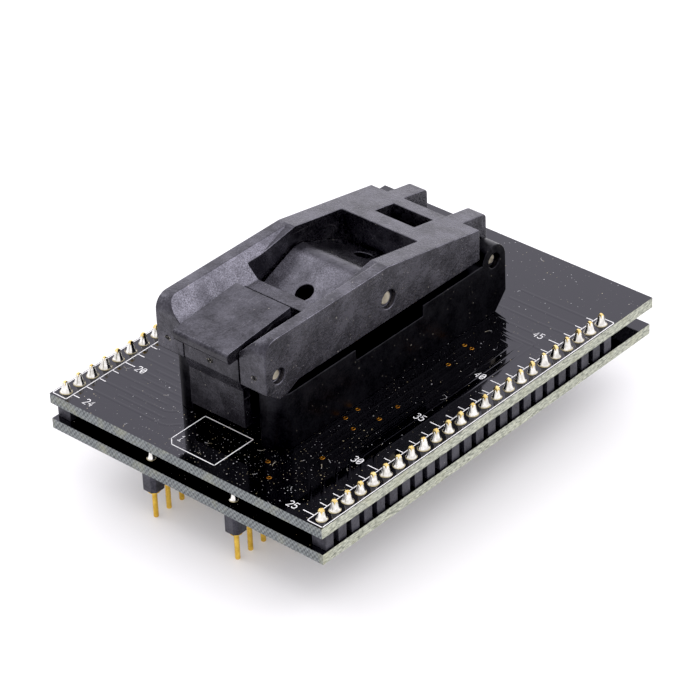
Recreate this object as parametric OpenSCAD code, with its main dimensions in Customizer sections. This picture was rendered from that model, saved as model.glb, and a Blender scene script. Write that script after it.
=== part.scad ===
// Chip programming adapter: a clamshell test socket on a stack of two boards with plug pins below.
// Millimetres. +Z is up, Z = 0 is the plug pins' tips, and the latch end of the socket faces -Y.

/* [Boards] */
// Width of both boards
board_w = 50; // [46:1:60]
// Length of the upper board
upper_len = 70; // [68:1:80]
// Length of the lower board, flush with the upper one at the latch end
lower_len = 69.4; // [66:0.2:80]
// Thickness of each board
board_t = 1.6; // [1.2:0.1:2.4]

/* [Pin rows] */
// Pins in each row, and leads on each side of the chip
row_pins = 24; // [20:1:25]
// Spacing of the pins along a row
pin_pitch = 2.54; // [2.4:0.01:2.6]
// From the boards' front edge to the first pin
row_front = 1.73; // [1.4:0.01:2.2]
// From a board's side edge to the row of link pins beside it
row_edge = 1.505; // [1.3:0.005:3]
// Distance between the two rows of plug pins
plug_span = 15.24; // [12.7:2.54:20.32]

/* [Link pins] */
// Width of a square link pin
link_w = 0.64; // [0.5:0.02:0.7]
// Height of a link pin's tip above the upper board
link_tip = 1.75; // [1.5:0.05:2.2]
// Length of a link pin's tip below the lower board
link_tail = 1.1; // [1:0.05:1.4]
// Height of the spacer strips, which is the gap between the boards
spacer_h = 2.54; // [2.4:0.02:6]
// Width of a spacer strip
spacer_w = 2.4; // [1.8:0.1:2.5]
// Length of each block of a spacer strip
block_len = 1.56; // [1.3:0.02:1.8]
// Width of the spine that joins the blocks of a spacer strip
spine_w = 0.7; // [0.5:0.05:1.2]
// Length of a link pin's point
point_len = 0.35; // [0.2:0.05:0.5]
// Diameter of the drilled holes for the link pins
link_hole_d = 1; // [0.9:0.05:1.2]

/* [Plug pins] */
// Diameter of a plug pin
plug_d = 0.76; // [0.6:0.02:0.8]
// Length of a plug pin below its strip
plug_len = 4.86; // [4:0.02:7]
// Bevel round the tip of a plug pin
tip_bevel = 0.1; // [0.05:0.01:0.2]
// Diameter of a plug pin's tail, which is soldered into the lower board
tail_d = 0.5; // [0.4:0.02:0.6]
// Diameter of a plug pin's collar
collar_d = 1.8; // [1.5:0.05:2]
// Height of a plug pin's collar
collar_h = 0.5; // [0.3:0.05:1]
// Diameter of a plug pin's barrel inside its strip
barrel_d = 1.3; // [1:0.05:1.5]
// Height of a plug strip
plug_strip_h = 3.3; // [2:0.1:4]
// Width of a plug strip
plug_strip_w = 2.5; // [2.3:0.1:3]
// Bevel at the corners of each segment of a plug strip
segment_bevel = 0.5; // [0.2:0.05:0.6]

/* [Solder] */
// Diameter of a solder cone on the boards
solder_d = 1.9; // [1.6:0.05:2.2]
// Height of a solder cone on the upper board
solder_h = 1.2; // [0.8:0.05:1.4]
// Height of the lower cones, under the lower board and between the boards
small_solder_h = 0.9; // [0.6:0.05:1]
// Diameter of the solder round a contact's tail
tail_solder_d = 0.86; // [0.7:0.02:0.9]

/* [Socket base] */
// From the board's middle to the chip's middle, towards the latch
chip_offset = 3.7; // [2:0.1:5]
// Width of the socket
base_w = 19.8; // [19.4:0.2:24]
// Height of the base's side walls
base_h = 8.8; // [8.6:0.05:9]
// From the chip's middle to the front of the base
base_front = 22.3; // [22:0.1:25]
// Radius of the upright front corners
corner_r = 2.5; // [1:0.1:3]
// Width of each front post beside the latch
post_w = 3.75; // [3:0.05:4.3]
// Depth of the recess between the front posts
recess_d = 3; // [2.5:0.1:5]
// Height of the catch bar above the board
catch_z = 4.3; // [4.2:0.1:5]
// Thickness of the catch bar
catch_t = 1.7; // [1:0.1:2.5]
// Length of the finger notch in each side wall
notch_len = 13.75; // [10:0.05:18]
// Depth of the finger notch
notch_d = 1.7; // [1:0.1:3]
// Width of the well over the chip
well_w = 14; // [13.8:0.1:15]
// Length of the well over the chip
well_len = 20; // [19:0.1:21]
// Bevel round the mouth of the well
well_bevel = 0.4; // [0.2:0.05:0.6]
// Height of the ledges at the well's ends, which guide the chip
ledge_h = 7.2; // [7:0.05:7.4]
// From the middle of the last contact to the ledge beyond it
ledge_gap = 0.85; // [0.75:0.05:1]
// Diameter of the posts that locate the base in the board
locator_d = 1.6; // [1:0.1:1.8]

/* [Hinge and shafts] */
// From the chip's middle back to the hinge axis
hinge_y = 22.13; // [21.8:0.01:23]
// Height of the hinge axis above the board
hinge_z = 8.5; // [8.3:0.05:8.8]
// Radius of the round top of each ear
ear_r = 2.47; // [2.2:0.01:2.6]
// Thickness of each ear
ear_w = 2.75; // [2.4:0.05:3]
// Height of the sloped foot of the ears
ear_foot_h = 2.5; // [1:0.1:4]
// Depth of the sloped foot of the ears
ear_foot_d = 2.33; // [0.5:0.01:3]
// Diameter of the hinge's and the latch's shafts
shaft_d = 1.5; // [1.4:0.05:1.8]
// Diameter of the pusher's shaft
pusher_shaft_d = 2; // [1.6:0.05:2.2]
// How far the shafts' ends lie inside the side faces
shaft_recess = 0.6; // [0.3:0.05:0.8]
// Width of the mouth left round each shaft's end
mouth_rim = 0.4; // [0.3:0.05:0.5]
// Depth of the mouths
mouth_depth = 0.9; // [0.85:0.05:1.5]

/* [Lid] */
// Height of the lid's flat top above the board
lid_top = 18.5; // [18.2:0.05:19]
// Height of the lid's long lower edge above the board
lid_edge = 10.1; // [9.9:0.05:10.4]
// How far the lid stands out past the front of the base
lid_over = 2.2; // [2.1:0.05:2.5]
// From the chip's middle to the back of the lid
lid_back = 19.1; // [18.6:0.05:19.2]
// Fall of the rear half of the lid's top, in degrees
lid_slope = 10.4; // [8:0.1:12]
// Radius of the lid's top front edge
lid_front_r = 2.2; // [1:0.1:2.6]
// Width of the window over the pusher
window_w = 13.8; // [13.6:0.05:14.2]
// Length of the window over the pusher
window_len = 19.06; // [19:0.02:19.4]
// Width of the crossbar in front of the window
crossbar_w = 2.35; // [1.8:0.05:2.5]
// Height of the crossbar's top, the floor of the trough
trough_z = 15.45; // [15:0.05:15.8]
// Width of the flat top of each arm
arm_top_w = 1.8; // [1.4:0.05:2.2]
// Length of the trough's shallow ramp
ramp_len = 7.5; // [5:0.1:9]
// Fall of the trough's shallow ramp
ramp_drop = 1.25; // [0.8:0.05:1.5]
// Thickness of the bridge behind the window
bridge_t = 2.6; // [2:0.1:3]
// Thickness of the walls under the front and the back of the bridge
bridge_wall_t = 1; // [0.8:0.05:1.2]
// Width of the slot in the bridge
slot_w = 7.26; // [5:0.02:7.4]
// Length of the slot in the bridge
slot_len = 3.88; // [2:0.02:4.5]
// From the chip's middle to the middle of the slot
slot_y = 14.69; // [14.4:0.01:15]
// Width of each hinge lug
lug_w = 2.95; // [2:0.05:3]
// Radius of a lug round the hinge shaft
lug_r = 2.05; // [1.8:0.05:2.1]
// Radius of a lug's upper back corner
lug_corner_r = 0.8; // [0.4:0.05:1.2]

/* [Latch] */
// Width of the latch
latch_w = 9.9; // [9.4:0.1:10]
// From the front of the lid back to the latch shaft
latch_inset = 2.5; // [2.3:0.05:2.7]
// Height of the latch shaft above the board
latch_z = 12.53; // [12.3:0.01:12.8]
// Length of the finger plate
plate_len = 12.55; // [12:0.05:13]
// Thickness of the finger plate
plate_t = 1.8; // [1.4:0.05:2]
// Height of the finger plate's rear edge
plate_top = 17.24; // [17:0.02:17.6]
// From the latch shaft back to the finger plate's rear edge
plate_reach = 8; // [7.6:0.05:8.4]
// Fall of the finger plate towards the front, in degrees
plate_tilt = 5.4; // [4:0.1:7]
// Radius of the finger plate's front edges
nose_r = 0.6; // [0.3:0.05:0.65]
// Height of the lower edge of the latch's front band
band_z = 10.85; // [10.7:0.05:11]
// Height of the top of the latch's lower panel
panel_top = 9; // [8.6:0.1:9.4]
// Height of the bottom of the latch's lower panel
panel_bottom = 3; // [2.4:0.1:3.2]
// Thickness of the lower panel
panel_t = 1.43; // [1.2:0.01:1.45]
// How far the panel steps back from the latch's front band
panel_step = 0.62; // [0.5:0.01:0.65]
// Height of the hook on the panel
hook_h = 1.1; // [0.8:0.05:1.15]

/* [Pusher and contacts] */
// Height of the pusher shaft above the board
pusher_z = 13.32; // [13:0.02:13.5]
// Height at which the pusher's two slopes would meet
roof_z = 16.02; // [15.8:0.02:16.2]
// Fall of the pusher's slopes, in degrees
roof_slope = 22; // [20:0.5:23]
// Radius of the pusher's round ridge
ridge_r = 3.8; // [3:0.1:4.5]
// Height of the pusher's underside
pusher_under = 9.3; // [9.25:0.05:9.6]
// Diameter of the two holes in the pusher
pusher_hole_d = 2.6; // [2:0.1:3]
// From the pusher shaft to each of those holes
pusher_hole_y = 6.02; // [5.5:0.02:6.5]
// Spacing of the contacts
contact_pitch = 0.5; // [0.48:0.01:0.52]
// Thickness of a contact
contact_t = 0.2; // [0.15:0.01:0.22]
// Width of a contact's strip
contact_w = 0.45; // [0.35:0.01:0.5]
// Span of the chip over its leads
lead_span = 8.1; // [7.8:0.05:8.4]
// Height of the contacts' tips above the board
tip_z = 6.1; // [5.9:0.05:6.15]
// Height of the chip's seat above the board
seat_z = 5.6; // [5:0.05:6]
// Width of the chip's seat
seat_w = 5.9; // [5:0.1:6]

/* [Springs] */
// Wire of the hinge spring
hinge_wire_d = 0.5; // [0.4:0.05:0.55]
// Turns of the hinge spring
hinge_turns = 5; // [3:1:8]
// Wire of the latch spring
latch_wire_d = 0.4; // [0.3:0.05:0.5]
// Mean radius of the latch spring
latch_coil_r = 1.4; // [1:0.05:1.8]
// Turns of the latch spring
latch_turns = 5; // [3:1:6]

/* [Clearances] */
// Gap round a piece that is pressed or soldered in
press_gap = 0.02; // [0.01:0.01:0.04]
// Gap round a turning shaft
running_gap = 0.05; // [0.03:0.01:0.08]
// Gap between the latch and the lid's arms
latch_gap = 0.2; // [0.15:0.05:0.3]
// Gap between the pusher and the window's sides
pusher_gap = 0.3; // [0.2:0.05:0.4]
// Gap at the pusher's ends, wide enough for its rocking
rock_gap = 0.4; // [0.3:0.05:0.5]
// Gap between the lid's feet and the base
rest_gap = 0.1; // [0.05:0.05:0.2]
// Gap between a hinge lug and the ear beside it
lug_gap = 0.3; // [0.2:0.05:0.5]
// Gap between the latch's hook and the catch bar
hook_gap = 0.1; // [0.05:0.05:0.2]
// Gap between the contact block and the well
block_gap = 0.2; // [0.1:0.05:0.3]
// Gap beside a contact in its slot
contact_gap = 0.03; // [0.02:0.01:0.04]

/* [Hidden] */
$fn = 48;

// Colours of the materials
plastic_grey = [0.20, 0.20, 0.22];
base_black = [0.09, 0.09, 0.10];
mask_black = [0.06, 0.06, 0.07];
strip_black = [0.12, 0.12, 0.12];
solder_silver = [0.78, 0.78, 0.76];
pin_gold = [0.83, 0.65, 0.30];
steel = [0.72, 0.70, 0.66];

// Heights of the stack, from the plug pins' tips up to the upper board's top face
plug_strip_z = plug_len;
lower_z = plug_strip_z + plug_strip_h;
spacer_z = lower_z + board_t;
upper_z = spacer_z + spacer_h;
deck_z = upper_z + board_t;

// Places of the rows
link_x = board_w / 2 - row_edge;
plug_x = plug_span / 2;
first_y = row_front - upper_len / 2;
left = -1;
right = 1;

// Shafts and their bores
shaft_len = base_w - 2 * shaft_recess;
running_d = shaft_d + 2 * running_gap;
rocking_d = pusher_shaft_d + 2 * running_gap;

// Lid, latch and pusher, worked out from the sizes above
past = 1;
lid_front = base_front + lid_over;
latch_y = lid_front - latch_inset;
plate_back = latch_y - plate_reach;
arm_in = latch_w / 2 + latch_gap;
crossbar_front = window_len / 2 + crossbar_w;
lug_out = base_w / 2 - ear_w - lug_gap;
foot_z = base_h + rest_gap;
foot_inset = 0.2;
foot_len = 1.4;
foot_front = base_front - foot_inset;
foot_back = foot_front - foot_len;
foot_rear_run = 2.4;
toe_rise = 0.5;
toe_z = lid_edge + toe_rise;
shelf_t = 1.3;
shelf_inset = 6;
shelf_front = lid_front - shelf_inset;
lug_root = 16.2;
pocket_front = 14.5;
pocket_gap = 0.9;
boss_r = 2.3;
catch_inset = 1.1;
catch_front = base_front - catch_inset;
hook_tip = catch_front + hook_gap;
panel_front = lid_front - panel_step;
panel_back = panel_front - panel_t;
pusher_w = window_w - 2 * pusher_gap;
pusher_len = window_len - 2 * rock_gap;

// Contact rows, with the lead's foot on a contact's tip and the pusher's rib over the foot
contact_row = (row_pins - 1) * contact_pitch;
lead_foot = 0.5;
tip_x = lead_span / 2 - lead_foot;
contact_out = 6.2;
contact_foot_h = 0.8;
bend_r = 0.9;
arm_z = 5.3;
tail_w = 0.4;
tail_hole_d = 0.6;
tail_out = 0.9;
tail_bare = 0.2;
tail_len = board_t + tail_out;
tail_rows = [4, 5.8];
slot_in = seat_w / 2;
slot_play = 0.2;
slot_out = contact_out + slot_play;
block_h = 4.5;
nest_len = contact_row + 2 * ledge_gap;
rib_w = 1.1;
rib_in = tip_x - lead_foot / 2;
lead_room = 0.35;
rib_y = contact_row / 2 + lead_room;
rib_z = tip_z + lead_room;

// Form of the solder: where its rim ends and its waist lies, and how much it narrows
rim_part = 0.08;
waist_part = 0.42;
tip_to_pin = 1.5;
tail_taper = 0.6;
full_turn = 360;

// Height of the lid's sloped rear top at a distance y behind the chip's middle
function rear_top(y) = lid_top - y * tan(lid_slope);

// Height of the underside of the latch's finger plate at a distance y in front of the chip's middle
function plate_under(y) = plate_top - (y - plate_back) * tan(plate_tilt) - plate_t / cos(plate_tilt);

function unit(v) = v / norm(v);

// Direction in the YZ plane from the hinge axis, an angle up from +Y
function around(angle) = [0, cos(angle), sin(angle)];

// Angle at which a line from point p, seen from the axis, touches a circle of radius r on side s
function touch_angle(p, r, s) = atan2(p[1], p[0]) + s * acos(r / norm(p));

// Places its children in the socket's frame: the chip's middle on the upper board's top face
module socket_frame() {
    translate([0, -chip_offset, deck_z])
        children();
}

// Repeats its children along a row of pins
module along_row() {
    for (i = [0 : row_pins - 1])
        translate([0, first_y + i * pin_pitch, 0])
            children();
}

// Repeats its children along a row of contacts, with $tail as the place of the contact's tail
module along_contacts() {
    for (i = [0 : row_pins - 1]) {
        $tail = tail_rows[i % 2];
        translate([0, i * contact_pitch - contact_row / 2, 0])
            children();
    }
}

// Extrudes an outline drawn in Y and Z across the width
module across(width) {
    rotate([90, 0, 90])
        linear_extrude(width, center = true)
            children();
}

// A shaft or bore along X at a place in Y and Z
module cross_rod(y, z, d, length) {
    translate([0, y, z])
        rotate([0, 90, 0])
            cylinder(d = d, h = length, center = true);
}

// The bore that holds a shaft, with wide mouths at the socket's two side faces
module shaft_bore(y, z, d) {
    cross_rod(y, z, d + 2 * press_gap, base_w + past);
    for (side = [left, right])
        translate([side * (base_w / 2 + past / 2 - mouth_depth / 2), 0, 0])
            cross_rod(y, z, d + 2 * mouth_rim, mouth_depth + past);
}

// A round wire along a path, with the ring's start direction taken from an axis
module wire(path, d, axis, sides = 8) {
    last = len(path) - 1;
    rings = [
        for (i = [0 : last])
            let (t = unit(path[min(i + 1, last)] - path[max(i - 1, 0)]))
            let (u = unit(cross(axis, t)))
            let (v = cross(t, u))
            for (k = [0 : sides - 1])
                let (turned = full_turn * k / sides)
                path[i] + d / 2 * (cos(turned) * u + sin(turned) * v)
    ];
    walls = [
        for (i = [0 : last - 1])
            for (k = [0 : sides - 1])
                let (n = (k + 1) % sides)
                [i * sides + k, (i + 1) * sides + k, (i + 1) * sides + n, i * sides + n]
    ];
    start = [for (k = [0 : sides - 1]) k];
    end = [for (k = [sides - 1 : -1 : 0]) last * sides + k];
    polyhedron(rings, concat([start], walls, [end]));
}

// Boards

module link_holes() {
    for (side = [left, right])
        translate([side * link_x, 0, 0])
            along_row()
                circle(d = link_hole_d);
}

module upper_board() {
    color(mask_black)
        translate([0, 0, upper_z])
            linear_extrude(board_t)
                difference() {
                    square([board_w, upper_len], center = true);
                    link_holes();
                    translate([0, -chip_offset]) {
                        for (side = [left, right])
                            along_contacts()
                                translate([side * $tail, 0])
                                    circle(d = tail_hole_d, $fn = 24);
                        locators(locator_d + 2 * running_gap);
                    }
                }
}

module lower_board() {
    color(mask_black)
        translate([0, 0, lower_z])
            linear_extrude(board_t)
                difference() {
                    translate([-board_w / 2, -upper_len / 2])
                        square([board_w, lower_len]);
                    link_holes();
                    for (side = [left, right])
                        translate([side * plug_x, 0])
                            along_row()
                                circle(d = link_hole_d);
                }
}

// Pin strips, pins and solder

// Outline of a spacer strip: one block for each pin, joined by a spine
module spacer_outline() {
    along_row()
        square([spacer_w, block_len], center = true);
    translate([-spine_w / 2, first_y])
        square([spine_w, (row_pins - 1) * pin_pitch]);
}

// Outline of a plug strip: one segment with four bevelled corners for each pin
module plug_outline() {
    w = plug_strip_w;
    half = pin_pitch / 2;
    waist = w / 2 - segment_bevel;
    edge = [
        for (i = [0 : row_pins - 1])
            let (y = first_y + i * pin_pitch)
            each [[waist, y - half], [w / 2, y - half + segment_bevel], [w / 2, y + half - segment_bevel]]
    ];
    side = concat(edge, [[waist, first_y + row_pins * pin_pitch - half]]);
    other = [for (i = [len(side) - 1 : -1 : 0]) [-side[i][0], side[i][1]]];
    polygon(concat(side, other));
}

module spacer_strip(side) {
    color(strip_black)
        translate([side * link_x, 0, spacer_z])
            linear_extrude(spacer_h)
                difference() {
                    spacer_outline();
                    along_row()
                        square(link_w, center = true);
                }
}

module link_outline() {
    low = lower_z - link_tail;
    high = deck_z + link_tip;
    half = link_w / 2;
    polygon([
        [-half / 2, low], [half / 2, low], [half, low + point_len], [half, high - point_len],
        [half / 2, high], [-half / 2, high], [-half, high - point_len], [-half, low + point_len]
    ]);
}

module link_pins(side) {
    color(pin_gold)
        translate([side * link_x, 0, 0])
            along_row()
                intersection() {
                    across(link_w)
                        link_outline();
                    rotate([0, 0, 90])
                        across(link_w)
                            link_outline();
                }
}

// A solder cone with a hollow flank, standing on Z = 0
module solder_cone(base_d, h, tip_d) {
    rotate_extrude()
        polygon([
            [0, 0], [base_d / 2, 0], [base_d / 2, rim_part * h], [(base_d + 2 * tip_d) / 6, waist_part * h],
            [tip_d / 2, h], [0, h]
        ]);
}

module link_solder(side, z, flip, h) {
    color(solder_silver)
        translate([side * link_x, 0, 0])
            along_row()
                difference() {
                    translate([0, 0, z])
                        rotate([flip, 0, 0])
                            solder_cone(solder_d, h, tip_to_pin * link_w);
                    translate([-link_w / 2, -link_w / 2, 0])
                        cube([link_w, link_w, deck_z + link_tip]);
                }
}

module plug_strip(side) {
    color(strip_black)
        translate([side * plug_x, 0, plug_strip_z])
            linear_extrude(plug_strip_h)
                difference() {
                    plug_outline();
                    along_row()
                        circle(d = barrel_d + 2 * press_gap);
                }
}

module plug_pins(side) {
    top = spacer_z + small_solder_h;
    neck = plug_strip_z - collar_h;
    color(pin_gold)
        translate([side * plug_x, 0, 0])
            along_row()
                rotate_extrude($fn = 32)
                    polygon([
                        [0, 0], [plug_d / 2 - tip_bevel, 0], [plug_d / 2, tip_bevel], [plug_d / 2, neck],
                        [collar_d / 2, neck], [collar_d / 2, plug_strip_z], [barrel_d / 2, plug_strip_z],
                        [barrel_d / 2, lower_z], [tail_d / 2, lower_z], [tail_d / 2, top], [0, top]
                    ]);
}

module plug_solder(side) {
    color(solder_silver)
        translate([side * plug_x, 0, spacer_z])
            along_row()
                difference() {
                    solder_cone(solder_d, small_solder_h, 2 * tail_d);
                    translate([0, 0, -past])
                        cylinder(d = tail_d + 2 * press_gap, h = small_solder_h + 2 * past);
                }
}

// Socket base

// Posts under the base, or their holes, at opposite corners
module locators(d) {
    x = (well_w + base_w) / 4;
    y = well_len / 2 + 2 * locator_d;
    for (end = [left, right])
        translate([end * x, end * y])
            circle(d = d);
}

// Plan of the base, with round front corners
module base_plan() {
    half = base_w / 2;
    translate([-half, corner_r - base_front])
        square([base_w, base_front + hinge_y + 2 * ear_r]);
    translate([corner_r - half, -base_front])
        square([base_w - 2 * corner_r, 2 * corner_r]);
    for (side = [left, right])
        translate([side * (half - corner_r), corner_r - base_front])
            circle(corner_r);
}

// Side view of the base, with the ear's round top and its sloped foot
module base_side() {
    back = hinge_y + ear_r;
    polygon([
        [-base_front, 0], [back - ear_foot_d, 0], [back, ear_foot_h], [back, hinge_z],
        [hinge_y - ear_r, hinge_z], [hinge_y - ear_r, base_h], [-base_front, base_h]
    ]);
    translate([hinge_y, hinge_z])
        circle(ear_r);
}

// Mouth of the well, which widens upwards
module well_mouth() {
    bevel = well_bevel;
    across(well_w)
        polygon([
            [-well_len / 2, base_h - bevel], [well_len / 2, base_h - bevel],
            [well_len / 2 + 2 * bevel, base_h + bevel], [-well_len / 2 - 2 * bevel, base_h + bevel]
        ]);
}

module socket_base() {
    recess_w = base_w - 2 * post_w;
    pocket_w = base_w - 2 * ear_w;
    pocket_z = hinge_z - lug_r - pocket_gap;
    tall = base_h + 2 * ear_r;
    color(base_black)
        socket_frame() {
            difference() {
                intersection() {
                    across(base_w)
                        base_side();
                    linear_extrude(tall)
                        base_plan();
                }
                // Recess for the latch, and the catch bar's space above and below it
                translate([-recess_w / 2, -base_front - past, -past])
                    cube([recess_w, recess_d + past, catch_z + past]);
                translate([-recess_w / 2, -base_front - past, 0])
                    cube([recess_w, base_front - catch_front + past, tall]);
                translate([-recess_w / 2, -base_front - past, catch_z + catch_t])
                    cube([recess_w, recess_d + past, tall]);
                // Well over the chip, and the nest of the contact block between its end ledges
                translate([-well_w / 2, -well_len / 2, ledge_h])
                    cube([well_w, well_len, tall]);
                translate([-well_w / 2, -nest_len / 2, -past])
                    cube([well_w, nest_len, tall]);
                well_mouth();
                // Finger notches in the side walls
                translate([-base_w, -notch_len / 2, base_h - notch_d])
                    cube([2 * base_w, notch_len, tall]);
                // Pocket between the ears
                translate([-pocket_w / 2, pocket_front, pocket_z])
                    cube([pocket_w, base_front, tall]);
                shaft_bore(hinge_y, hinge_z, shaft_d);
            }
            translate([0, 0, -board_t])
                linear_extrude(board_t)
                    locators(locator_d);
        }
}

// Contacts and the block that holds them

module contact_block() {
    w = well_w - 2 * block_gap;
    l = nest_len - 2 * block_gap;
    slot = contact_t + 2 * contact_gap;
    color(base_black)
        socket_frame()
            difference() {
                union() {
                    linear_extrude(block_h)
                        square([w, l], center = true);
                    linear_extrude(seat_z)
                        square([seat_w, l], center = true);
                }
                for (side = [left, right])
                    along_contacts()
                        translate([side * (slot_in + slot_out) / 2, 0, block_h / 2])
                            cube([slot_out - slot_in, slot, block_h + 2 * past], center = true);
            }
}

// One contact seen from the front: tail, foot, stem, round bend, arm and upturned tip
module contact_outline(tail) {
    bend_x = contact_out - bend_r;
    bend_z = arm_z - bend_r;
    translate([tail - tail_w / 2, -tail_len])
        square([tail_w, tail_len + contact_foot_h]);
    translate([tail_rows[0] - tail_w / 2, 0])
        square([contact_out - tail_rows[0] + tail_w / 2, contact_foot_h]);
    translate([contact_out - contact_w, 0])
        square([contact_w, bend_z]);
    translate([bend_x, bend_z])
        intersection() {
            difference() {
                circle(bend_r);
                circle(bend_r - contact_w);
            }
            square(bend_r);
        }
    translate([tip_x, arm_z - contact_w])
        square([bend_x - tip_x, contact_w]);
    translate([tip_x, arm_z - contact_w])
        square([contact_w, tip_z - arm_z + contact_w / 2]);
    translate([tip_x + contact_w / 2, tip_z - contact_w / 2])
        circle(d = contact_w, $fn = 24);
}

module contacts(side) {
    color(pin_gold)
        socket_frame()
            along_contacts()
                rotate([90, 0, side == right ? 0 : 180])
                    linear_extrude(contact_t, center = true)
                        contact_outline($tail);
}

module contact_solder(side) {
    color(solder_silver)
        socket_frame()
            along_contacts()
                translate([side * $tail, 0, -board_t])
                    difference() {
                        rotate([180, 0, 0])
                            cylinder(d1 = tail_solder_d, d2 = tail_taper * tail_solder_d, h = tail_out - tail_bare);
                        cube([tail_w, contact_t, 2 * tail_len], center = true);
                    }
}

// Lid

// Side view of the lid: foot, long edge, sloped rear, kink over the pusher shaft and round front
module lid_side() {
    polygon([
        [-lid_front, toe_z], [-foot_front, foot_z], [-foot_back, foot_z],
        [foot_rear_run - foot_back, lid_edge], [lid_back, lid_edge], [lid_back, rear_top(lid_back)],
        [0, lid_top], [lid_front_r - lid_front, lid_top], [-lid_front, lid_top - lid_front_r]
    ]);
    translate([lid_front_r - lid_front, lid_top - lid_front_r])
        circle(lid_front_r);
}

// Trough behind the latch: a shallow ramp from the kink, then a flat floor between sloped sides
module lid_trough() {
    floor_half = base_w / 2 - arm_top_w - (lid_top - trough_z);
    head = lid_top + past;
    top_half = floor_half + head - trough_z;
    intersection() {
        across(2 * base_w)
            polygon([
                [0, head], [0, lid_top], [-ramp_len, lid_top - ramp_drop], [-window_len / 2, trough_z],
                [-lid_front - past, trough_z], [-lid_front - past, head]
            ]);
        rotate([90, 0, 0])
            linear_extrude(4 * lid_front, center = true)
                polygon([
                    [-floor_half, trough_z], [floor_half, trough_z], [top_half, head], [-top_half, head]
                ]);
    }
}

// Slot between the arms for the latch, with a shelf left under the latch spring
module latch_slot() {
    reach = lid_front + past;
    translate([-arm_in, -reach, lid_edge + shelf_t])
        cube([2 * arm_in, reach - crossbar_front, lid_top]);
    translate([-arm_in, -reach, 0])
        cube([2 * arm_in, reach - shelf_front, lid_top]);
}

// Hollow under the bridge, between its front and back walls
module bridge_hollow() {
    front = window_len / 2 + bridge_wall_t;
    back = lid_back - bridge_wall_t;
    across(window_w)
        polygon([
            [front, 0], [back, 0], [back, rear_top(back) - bridge_t], [front, rear_top(front) - bridge_t]
        ]);
}

// Side view of a hinge lug, whose top carries on the lid's slope
module lug_side() {
    back = hinge_y + lug_r;
    corner_y = back - lug_corner_r;
    corner_z = rear_top(corner_y) - lug_corner_r / cos(lid_slope);
    polygon([
        [lug_root, rear_top(lug_root) - bridge_t - past], [hinge_y - lug_r, hinge_z], [back, hinge_z],
        [back, corner_z], [corner_y + lug_corner_r * sin(lid_slope), corner_z + lug_corner_r * cos(lid_slope)],
        [lug_root, rear_top(lug_root)]
    ]);
    translate([corner_y, corner_z])
        circle(lug_corner_r);
    translate([hinge_y, hinge_z])
        circle(lug_r);
}

module lid() {
    color(plastic_grey)
        socket_frame()
            difference() {
                union() {
                    difference() {
                        across(base_w)
                            lid_side();
                        lid_trough();
                        latch_slot();
                        bridge_hollow();
                        translate([-window_w / 2, -window_len / 2, 0])
                            cube([window_w, window_len, 2 * lid_top]);
                        translate([-slot_w / 2, slot_y - slot_len / 2, 0])
                            cube([slot_w, slot_len, 2 * lid_top]);
                    }
                    for (side = [left, right])
                        translate([side * (lug_out - lug_w / 2), 0, 0])
                            across(lug_w)
                                lug_side();
                }
                cross_rod(hinge_y, hinge_z, running_d, base_w);
                shaft_bore(0, pusher_z, pusher_shaft_d);
                shaft_bore(-latch_y, latch_z, shaft_d);
            }
}

// Pusher

// Side view of the pusher: two slopes tangent to a round ridge
module pusher_side() {
    half = pusher_len / 2;
    ridge_z = roof_z - ridge_r / cos(roof_slope);
    flank_y = ridge_r * sin(roof_slope);
    flank_z = ridge_z + ridge_r * cos(roof_slope);
    end_z = roof_z - half * tan(roof_slope);
    polygon([
        [-half, pusher_under], [half, pusher_under], [half, end_z],
        [flank_y, flank_z], [-flank_y, flank_z], [-half, end_z]
    ]);
    intersection() {
        translate([0, ridge_z])
            circle(ridge_r, $fn = 96);
        translate([-half, flank_z - past])
            square(2 * half);
    }
}

module pusher() {
    color(plastic_grey)
        socket_frame()
            difference() {
                union() {
                    across(pusher_w)
                        pusher_side();
                    // Ribs that press the leads onto the contacts
                    for (side = [left, right])
                        translate([side * (rib_in + rib_w / 2) - rib_w / 2, -rib_y, rib_z])
                            cube([rib_w, 2 * rib_y, pusher_z - rib_z - pusher_shaft_d]);
                }
                cross_rod(0, pusher_z, rocking_d, base_w);
                for (end = [left, right])
                    translate([0, end * pusher_hole_y, 0])
                        cylinder(d = pusher_hole_d, h = lid_top);
            }
}

// Latch

// Finger plate with round front edges, its rear top edge at the origin
module finger_plate() {
    translate([nose_r - plate_len, -plate_t])
        square([plate_len - nose_r, plate_t]);
    translate([-plate_len, nose_r - plate_t])
        square([plate_len, plate_t - 2 * nose_r]);
    for (z = [-nose_r, nose_r - plate_t])
        translate([nose_r - plate_len, z])
            circle(nose_r);
}

// Side view of the latch: finger plate, boss round the shaft, front band, panel and hook
module latch_side() {
    inside = plate_t / 2;
    boss_back = latch_y - boss_r;
    translate([-plate_back, plate_top])
        rotate(plate_tilt)
            finger_plate();
    polygon([
        [-lid_front, plate_under(lid_front) + inside], [-lid_front, band_z], [-panel_front, panel_top],
        [-panel_front, panel_bottom], [-hook_tip, panel_bottom], [-hook_tip, panel_bottom + hook_h / 2],
        [-panel_back, panel_bottom + hook_h], [-panel_back, band_z - panel_t], [-boss_back, band_z],
        [-boss_back, plate_under(boss_back) + inside]
    ]);
}

module latch() {
    color(plastic_grey)
        socket_frame()
            difference() {
                across(latch_w)
                    latch_side();
                cross_rod(-latch_y, latch_z, running_d, base_w);
            }
}

// Shafts and springs

module shaft(y, z, d) {
    color(steel)
        socket_frame()
            cross_rod(y, z, d, shaft_len);
}

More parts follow.
